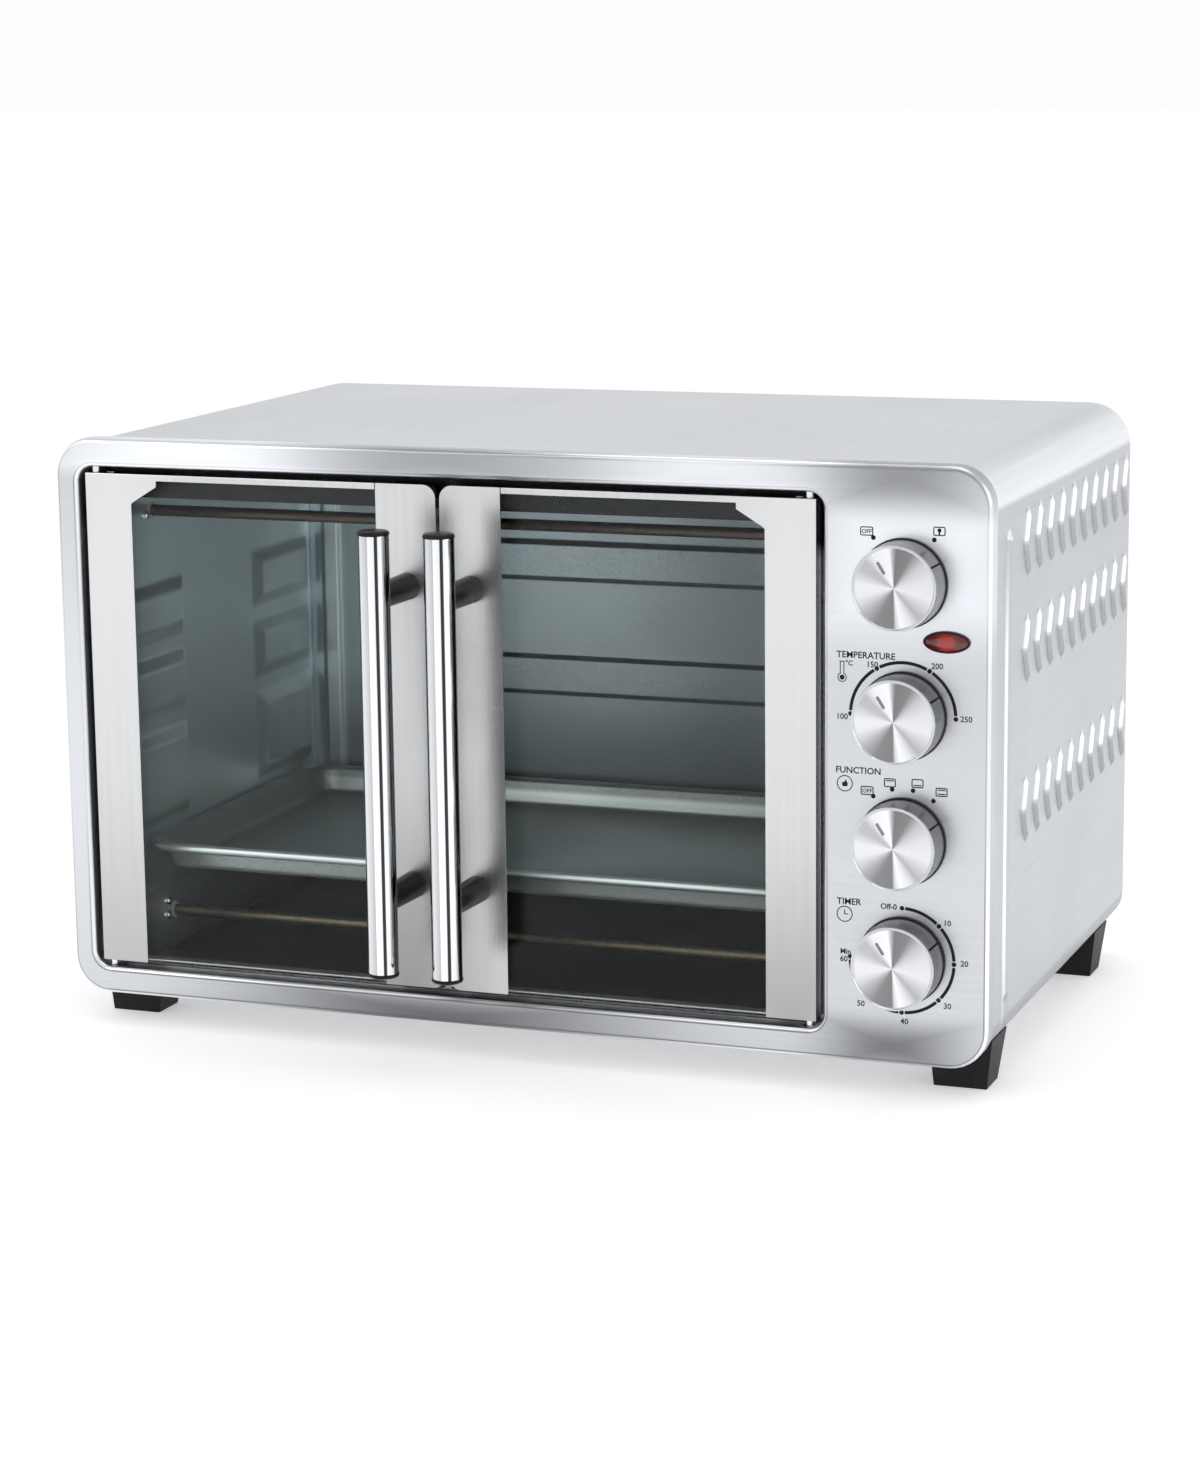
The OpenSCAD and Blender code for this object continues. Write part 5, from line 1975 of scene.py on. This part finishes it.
@dataclass
class Print:
    """Dial scales, words and signs printed on the front panel."""

    datum: Datum
    film: float = 0.05
    ring: float = 28.9
    arc: float = 1.8
    dot: float = 1.3
    gap: float = 2.9
    title: float = 3.6
    figure: float = 3.2
    work: Work = field(init=False)

    def __post_init__(self) -> None:
        """Start an empty print."""
        self.work = Work(self.datum)

    def centre(self, name: str) -> Flat:
        """Give a knob's axis in x and z."""
        low, high = self.datum.box(name + "_knob")
        return (low.x + high.x) / 2, (low.z + high.z) / 2

    def on_panel(self, point: Flat, lift: float) -> Point:
        """Place an outline point on the panel's face."""
        return point[0], -lift, point[1]

    def shape(self, outline: Sequence[Flat]) -> None:
        """Print a filled outline."""
        self.work.prism(outline, 0.0, self.film, self.on_panel)

    def bead_at(self, at: Flat, radius: float) -> None:
        """Print a dot."""
        self.shape(circle_outline(at, radius, 20))

    def band(self, at: Flat, radius: float, width: float, start: float, end: float) -> None:
        """Print an arc.

        Args:
            at: Its centre.
            radius: Its middle radius.
            width: Its width.
            start: Where it starts, in degrees clockwise from the top.
            end: Where it ends.
        """
        steps = max(3, int(abs(end - start) / 4))
        turns = [math.radians(90 - (start + (end - start) * i / steps)) for i in range(steps + 1)]
        rim, core = (
            [(at[0] + r * math.cos(a), at[1] + r * math.sin(a)) for a in turns]
            for r in (radius + width / 2, radius - width / 2)
        )
        self.shape(rim + core[::-1])

    def around(self, at: Flat, degrees: float, radius: float) -> Flat:
        """Give a place at an angle clockwise from the top."""
        a = math.radians(90 - degrees)
        return at[0] + radius * math.cos(a), at[1] + radius * math.sin(a)

    def stroke(self, path: Sequence[Flat], width: float) -> None:
        """Print straight strokes.

        Args:
            path: Points along it, with one stroke for each step.
            width: Width of the strokes.
        """
        for (x0, z0), (x1, z1) in zip(path, path[1:]):
            length = math.hypot(x1 - x0, z1 - z0)
            dx, dz = (x1 - x0) / length * width / 2, (z1 - z0) / length * width / 2
            self.shape([
                (x0 - dx + dz, z0 - dz - dx), (x1 + dx + dz, z1 + dz - dx),
                (x1 + dx - dz, z1 + dz + dx), (x0 - dx - dz, z0 - dz + dx),
            ])

    def box(self, at: Flat, width: float, height: float, line: float = 0.6) -> None:
        """Print a box with round corners as an outline.

        Args:
            at: Its middle.
            width: Its width.
            height: Its height.
            line: Width of its line.
        """
        rings = []
        for inset in (0.0, line):
            ring = round_outline(
                (at[0] - width / 2 + inset, at[1] - height / 2 + inset),
                (at[0] + width / 2 - inset, at[1] + height / 2 - inset), 0.9 - inset, steps=3,
            )
            rings.append(ring)
        faces = []
        for lift in (0.0, self.film):
            faces.append([self.work.ring(self.on_panel(p, lift) for p in ring) for ring in rings])
        for near, far in zip(*faces):
            self.work.strip(near, far)
        for loops in faces:
            self.work.strip(*loops)

    def words(self, text: str, at: Flat, height: float, heavy: float = 0.09) -> None:
        """Print letters or figures.

        Args:
            text: What to print.
            at: Its middle.
            height: Height of its capitals.
            heavy: Thickens its strokes, in millimetres.
        """
        curve = bpy.data.curves.new("dial_letters", "FONT")
        curve.body = text
        curve.align_x = "CENTER"
        curve.size = height / 0.73
        curve.offset = heavy
        curve.extrude = self.film / 2
        curve.resolution_u = 3
        holder = bpy.data.objects.new("dial_letters", curve)
        bpy.context.scene.collection.objects.link(holder)
        graph = bpy.context.evaluated_depsgraph_get()
        mesh = bpy.data.meshes.new_from_object(holder.evaluated_get(graph))
        base = len(self.work.points)
        for v in mesh.vertices:
            x, z = at[0] + v.co.x, at[1] - height / 2 + v.co.y
            self.work.points.append((x, -(v.co.z + self.film / 2), z))
        for face in mesh.polygons:
            self.work.faces.append(tuple(base + i for i in face.vertices))
        bpy.data.objects.remove(holder)
        bpy.data.curves.remove(curve)
        bpy.data.meshes.remove(mesh)

    def scale(self, at: Flat, marks: Sequence[float], closed: bool = True) -> None:
        """Print a scale's dots, and the arcs between them.

        Args:
            at: The knob's axis.
            marks: Angles of the dots, in degrees clockwise from the top.
            closed: Whether there are arcs.
        """
        for mark in marks:
            self.bead_at(self.around(at, mark, self.ring), self.dot)
        if closed:
            for first, second in zip(marks, marks[1:]):
                self.band(at, self.ring, self.arc, first + self.gap * 1.2, second - self.gap * 1.2)

    def off(self, at: Flat) -> None:
        """Print the word of a switch's first place, in a box."""
        self.box(at, 7.2, 4.9)
        self.words("OFF", at, 2.3, heavy=0.06)

    def figures(self, at: Flat, places: Sequence[tuple[str, float, float]]) -> None:
        """Print the figures of a scale.

        Args:
            at: The knob's axis.
            places: Each text with its distance to the right of the axis and above it.
        """
        for text, x, z in places:
            self.words(text, (at[0] + x, at[1] + z), self.figure, heavy=0.07)

    def light(self) -> None:
        """Print the light switch's two places."""
        at = self.centre("light")
        self.scale(at, (-35, 35), closed=False)
        off, lamp = (at[0] - 20.2, at[1] + 27.0), (at[0] + 19.3, at[1] + 28.3)
        self.off(off)
        self.box(lamp, 6.6, 4.9)
        self.bead_at((lamp[0], lamp[1] + 0.5), 1.1)
        self.stroke([(lamp[0], lamp[1] - 0.4), (lamp[0], lamp[1] - 1.5)], 0.9)

    def temperature(self) -> None:
        """Print the thermostat's scale."""
        at = self.centre("temperature")
        self.scale(at, (-90, -30, 30, 90))
        self.figures(
            at, (("100", -33.6, -1.6), ("150", -17.0, 27.2), ("200", 18.6, 28.0), ("250", 34.6, 0.4))
        )
        self.words("TEMPERATURE", (206.9, at[1] + 32.0), self.title)
        sign = (193.8, at[1] + 19.4)
        self.bead_at(sign, 1.4)
        self.band(sign, 2.3, 0.5, 25, 335)
        for side in (-1.0, 1.0):
            self.stroke([(sign[0] + side, sign[1] + 2.0), (sign[0] + side, sign[1] + 8.4)], 0.5)
        self.stroke([(sign[0] - 1.2, sign[1] + 8.6), (sign[0] + 1.2, sign[1] + 8.6)], 0.5)
        self.words("\N{DEGREE SIGN}C", (sign[0] + 3.9, sign[1] + 8.0), 2.8)

    def function(self) -> None:
        """Print the function switch's four places."""
        at = self.centre("function")
        self.scale(at, (-34, -11.5, 11.5, 36), closed=False)
        off, upper, lower, both = (
            (at[0] - 19.6, at[1] + 26.8), (at[0] - 7.0, at[1] + 31.8),
            (at[0] + 8.2, at[1] + 32.3), (at[0] + 21.4, at[1] + 28.4),
        )
        self.off(off)
        for place, lines in ((upper, (1.1,)), (lower, (-1.1,)), (both, (1.1, -1.1))):
            self.box(place, 6.6, 4.9)
            for height in lines:
                self.stroke([(place[0] - 1.9, place[1] + height), (place[0] + 1.9, place[1] + height)], 0.6)
        self.words("FUNCTION", (202.9, at[1] + 37.6), self.title)
        sign = (195.4, at[1] + 30.0)
        self.band(sign, 4.2, 0.55, 0, 359.9)
        self.shape([
            (sign[0] - 1.4, sign[1] - 1.6), (sign[0] + 1.4, sign[1] - 1.6), (sign[0] + 1.6, sign[1]),
            (sign[0] + 0.5, sign[1] + 2.3), (sign[0] - 0.2, sign[1] + 0.8), (sign[0] - 1.5, sign[1] + 0.6),
        ])

    def timer(self) -> None:
        """Print the timer's scale of minutes."""
        at = self.centre("timer")
        self.scale(at, [45 * i for i in range(7)])
        self.figures(at, (
            ("10", 25.0, 22.6), ("20", 34.6, 1.0), ("30", 25.4, -23.2),
            ("40", 1.6, -33.6), ("50", -22.8, -25.6), ("60", -32.4, -1.4),
        ))
        self.words("Min", (at[0] - 31.4, at[1] + 2.8), 3.0)
        self.words("Off-0", (at[0] - 7.4, at[1] + 29.4), 3.1)
        self.words("TIMER", (197.8, at[1] + 30.6), self.title)
        sign = (195.4, at[1] + 23.4)
        self.band(sign, 4.2, 0.55, 0, 359.9)
        self.stroke([(sign[0], sign[1] + 2.2), sign, (sign[0] + 1.6, sign[1])], 0.55)

    def build(self) -> bpy.types.Object:
        """Print everything on the panel.

        Returns:
            The print.
        """
        self.light()
        self.temperature()
        self.function()
        self.timer()
        return self.work.piece(Label("dial_print", "casing", "black_plastic"), Finishes.INK)


@dataclass
class PilotLens:
    """Oval lens of the pilot light in a dark rim."""

    datum: Datum

    def build(self) -> None:
        """Build the rim and the domed lens."""
        low, high = self.datum.box("pilot_lens")
        middle = ((low.x + high.x) / 2, (low.z + high.z) / 2)
        half = ((high.x - low.x) / 2, (high.z - low.z) / 2)
        front = -low.y

        def oval(inset: float) -> list[Flat]:
            """Draw the oval's outline, smaller all round by an inset."""
            wide, high = half[0] - inset, half[1] - inset
            return [(middle[0] + wide * a, middle[1] + high * b) for a, b in circle_outline((0, 0), 1.0, 64)]

        work = Work(self.datum)
        rows = []
        section = (
            (2.6, -7.0), (2.6, 0.1), (0.0, 0.1), (0.0, 1.0), (0.3, 1.4), (0.8, 1.4), (1.1, 0.9), (2.9, -7.0),
        )
        for inset, height in section:
            rows.append(work.ring((x, -height, z) for x, z in oval(inset)))
        work.loft(rows, around=True)
        work.piece(Label("pilot_lens_rim", "casing", "lens_red", ("pilot_lens",)), Finishes.LENS_RIM)
        dome = Work(self.datum)
        rows = [dome.ring((x, 2.0, z) for x, z in oval(2.6))]
        for share in (0.0, 0.06, 0.16, 0.3, 0.45, 0.62, 0.8, 0.95):
            height = 0.5 + (front - 0.5) * math.sin(math.pi / 2 * min(1.0, share * 1.15 + 0.12))
            rows.append(dome.ring((x, -height, z) for x, z in oval(1.0 + share * (half[1] - 1.1))))
        dome.loft(rows)
        dome.fill([rows[0]])
        dome.fill([rows[-1]])
        centre = tuple(self.datum.world((middle[0], -front, middle[1])))
        lens = Lens("pilot_red", (0.11, 0.008, 0.008), 0.12, centre=centre, reach=0.0075)
        dome.piece(Label("pilot_lens_dome", "casing", "lens_red"), lens)


# ---- studio ----


@dataclass
class Studio:
    """Pale floor, soft lights and the camera.

    Attributes:
        datum: Where the camera's place is measured from, in millimetres.
        eye: The camera's place.
        heading: How far it is turned to the left of straight back, in degrees.
        forward: The way it looks.
        roll: How far it is tipped to the left, in degrees.
        lens: Its focal length on a sensor 36 mm wide.
        floor_half: Half the floor's side in metres.
        floor_light: Light of the floor's own, which lifts it to the room's brightness.
    """

    datum: Datum
    eye: Point = (737.94, -1817.37, 556.90)
    heading: float = 20.57
    forward: Point = (-0.34473, 0.91842, -0.19410)
    roll: float = -0.68
    lens: float = 88.73
    floor_half: float = 20.0
    floor_light: float = 0.34

    def camera(self) -> None:
        """Place the camera."""
        data = bpy.data.cameras.new("view")
        data.lens = self.lens
        data.sensor_width = 36.0
        data.clip_end = 50.0
        eye = bpy.data.objects.new("view", data)
        forward = Vector(self.forward).normalized()
        heading, roll = math.radians(self.heading), math.radians(self.roll)
        right = Vector((math.cos(heading), math.sin(heading), 0))
        up = right.cross(forward).normalized()
        right_rolled = right * math.cos(roll) + up * math.sin(roll)
        up_rolled = up * math.cos(roll) - right * math.sin(roll)
        turn = Matrix((right_rolled, up_rolled, -forward)).transposed().to_4x4()
        turn.translation = self.datum.world(self.eye)
        eye.matrix_world = turn
        bpy.context.scene.collection.objects.link(eye)
        bpy.context.scene.camera = eye

    def lamp(self, name: str, at: Point, towards: Point, size: Flat, power: float) -> None:
        """Hang one soft light.

        Args:
            name: Its name.
            at: Its place in metres.
            towards: The point it faces.
            size: Its width and height in metres.
            power: Its power in watts.
        """
        data = bpy.data.lights.new(name, "AREA")
        data.shape = "RECTANGLE"
        data.size, data.size_y = size
        data.energy = power
        light = bpy.data.objects.new(name, data)
        light.location = at
        light.rotation_mode = "QUATERNION"
        light.rotation_quaternion = (Vector(towards) - Vector(at)).to_track_quat("-Z", "Y")
        bpy.context.scene.collection.objects.link(light)

    def room(self) -> None:
        """Fill the room with soft light, brightest from above."""
        world = bpy.data.worlds.new("studio")
        bpy.context.scene.world = world
        world.use_nodes = True
        sky = Graph(world.node_tree)
        height = sky.split(sky.add("ShaderNodeTexCoord").outputs["Generated"])["Z"]
        ramp = sky.add("ShaderNodeValToRGB")
        background = world.node_tree.nodes["Background"]
        sky.give(sky.spread(height, (-1.0, 1.0)), ramp.inputs["Fac"])
        sky.give(ramp.outputs["Color"], background.inputs["Color"])
        elements = ramp.color_ramp.elements
        elements[0].position, elements[0].color = 0.45, (0.98, 0.985, 1.0, 1)
        elements[1].position, elements[1].color = 1.0, (0.55, 0.57, 0.6, 1)
        for position, tone in ((0.58, 1.0), (0.72, 0.8)):
            elements.new(position).color = (tone * 0.985, tone * 0.99, tone, 1)
        background.inputs["Strength"].default_value = 1.0

    def floor(self) -> None:
        """Lay the floor."""
        half = self.floor_half
        mesh = bpy.data.meshes.new("studio_floor")
        corners = [(-half, -half, 0), (half, -half, 0), (half, half, 0), (-half, half, 0)]
        mesh.from_pydata(corners, [], [(0, 1, 2, 3)])
        floor = bpy.data.objects.new("studio_floor", mesh)
        bpy.context.scene.collection.objects.link(floor)
        surface = Surface("studio_floor_paint")
        patches = surface.effect(Effect.SMUDGE, Scale=1.5)["Patches"]
        surface.feed("Base Color", surface.tint(patches, (0.93, 0.93, 0.935), (0.95, 0.95, 0.955)))
        surface.plain(Roughness=0.7, Emission_Color=(1.0, 1.0, 1.0, 1.0), Emission_Strength=self.floor_light)
        mesh.materials.append(surface.material)
        floor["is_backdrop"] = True

    def build(self) -> None:
        """Set up the studio."""
        self.camera()
        self.room()
        self.floor()
        self.lamp("key_softbox", (-1.3, -1.5, 1.5), (0, 0, 0.2), (1.2, 1.2), 7)
        self.lamp("top_softbox", (0.1, 0.1, 1.5), (0, 0.05, 0.3), (1.4, 0.9), 5)
        self.lamp("side_softbox", (1.9, -0.4, 0.9), (0.2, 0, 0.2), (1.0, 1.2), 4)
        bpy.context.scene.view_settings.view_transform = "Standard"


# ---- the whole oven ----


def carried_parts() -> tuple[Carried, ...]:
    """List the casing's and cavity's CAD nodes that are shown as they are.

    Returns:
        The groups of nodes with their finishes.
    """
    return (
        Carried(Finishes.REAR, ("rear_cover", "base_plate"), 0.0),
        Carried(Finishes.RUBBER, ("feet",), 0.8),
        Carried(Finishes.BLACK, ("rear_spacers", "cord_gland"), 0.6),
        Carried(Finishes.CAVITY_DARK, ("cavity_top", "cavity_floor"), 0.2),
        Carried(Finishes.FRAME, ("cavity_front_frame",), 0.25),
        Carried(Finishes.BRACKET, ("heat_shield", "control_bracket", "thermostat"), 0.0),
        Carried(Finishes.ROD, ("top_elements",), 0.0),
        Carried(Finishes.LOW_ROD, ("bottom_elements",), 0.0),
        Carried(Finishes.CERAMIC, ("element_insulators", "lamp_holder"), 0.0),
        Carried(Finishes.BULB, ("lamp_bulb",), 0.0),
        Carried(Finishes.LAMP_GLASS, ("lamp_glass",), 0.0),
        Carried(Finishes.NYLON, ("hinge_bushes",), 0.0),
        Carried(Finishes.CONTROL, ("light_switch",), 0.3),
        Carried(Finishes.PALE, ("function_switch", "timer", "terminal_block"), 0.0),
        Carried(Finishes.WIRE, ("wiring",), 0.0),
        Carried(Finishes.CRUMB, ("crumb_tray",), 0.15),
        Carried(Finishes.PIN, tuple(name + "_shaft" for name in KNOBS), 0.0),
    )


def main() -> None:
    """Build the oven's looks in order and measure the sizes of both models."""
    logging.basicConfig(level=logging.INFO, format="%(message)s")
    cad_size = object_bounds()
    datum = Datum.read()
    Studio(datum).build()
    FrontPanel(datum).build()
    Cover(datum).build()
    Cavity(datum).build()
    BakeTray(datum).build()
    for side in Side:
        Door(datum, side).build()
    for name in KNOBS:
        Knob(datum, name).build()
    Print(datum).build()
    PilotLens(datum).build()
    Screws(datum).build()
    for group in carried_parts():
        group.dress()
    sizes = {"cad": cad_size, "visual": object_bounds()}
    {name: [list(corner) for corner in pair] for name, pair in sizes.items()}


if __name__ == "__main__":
    main()
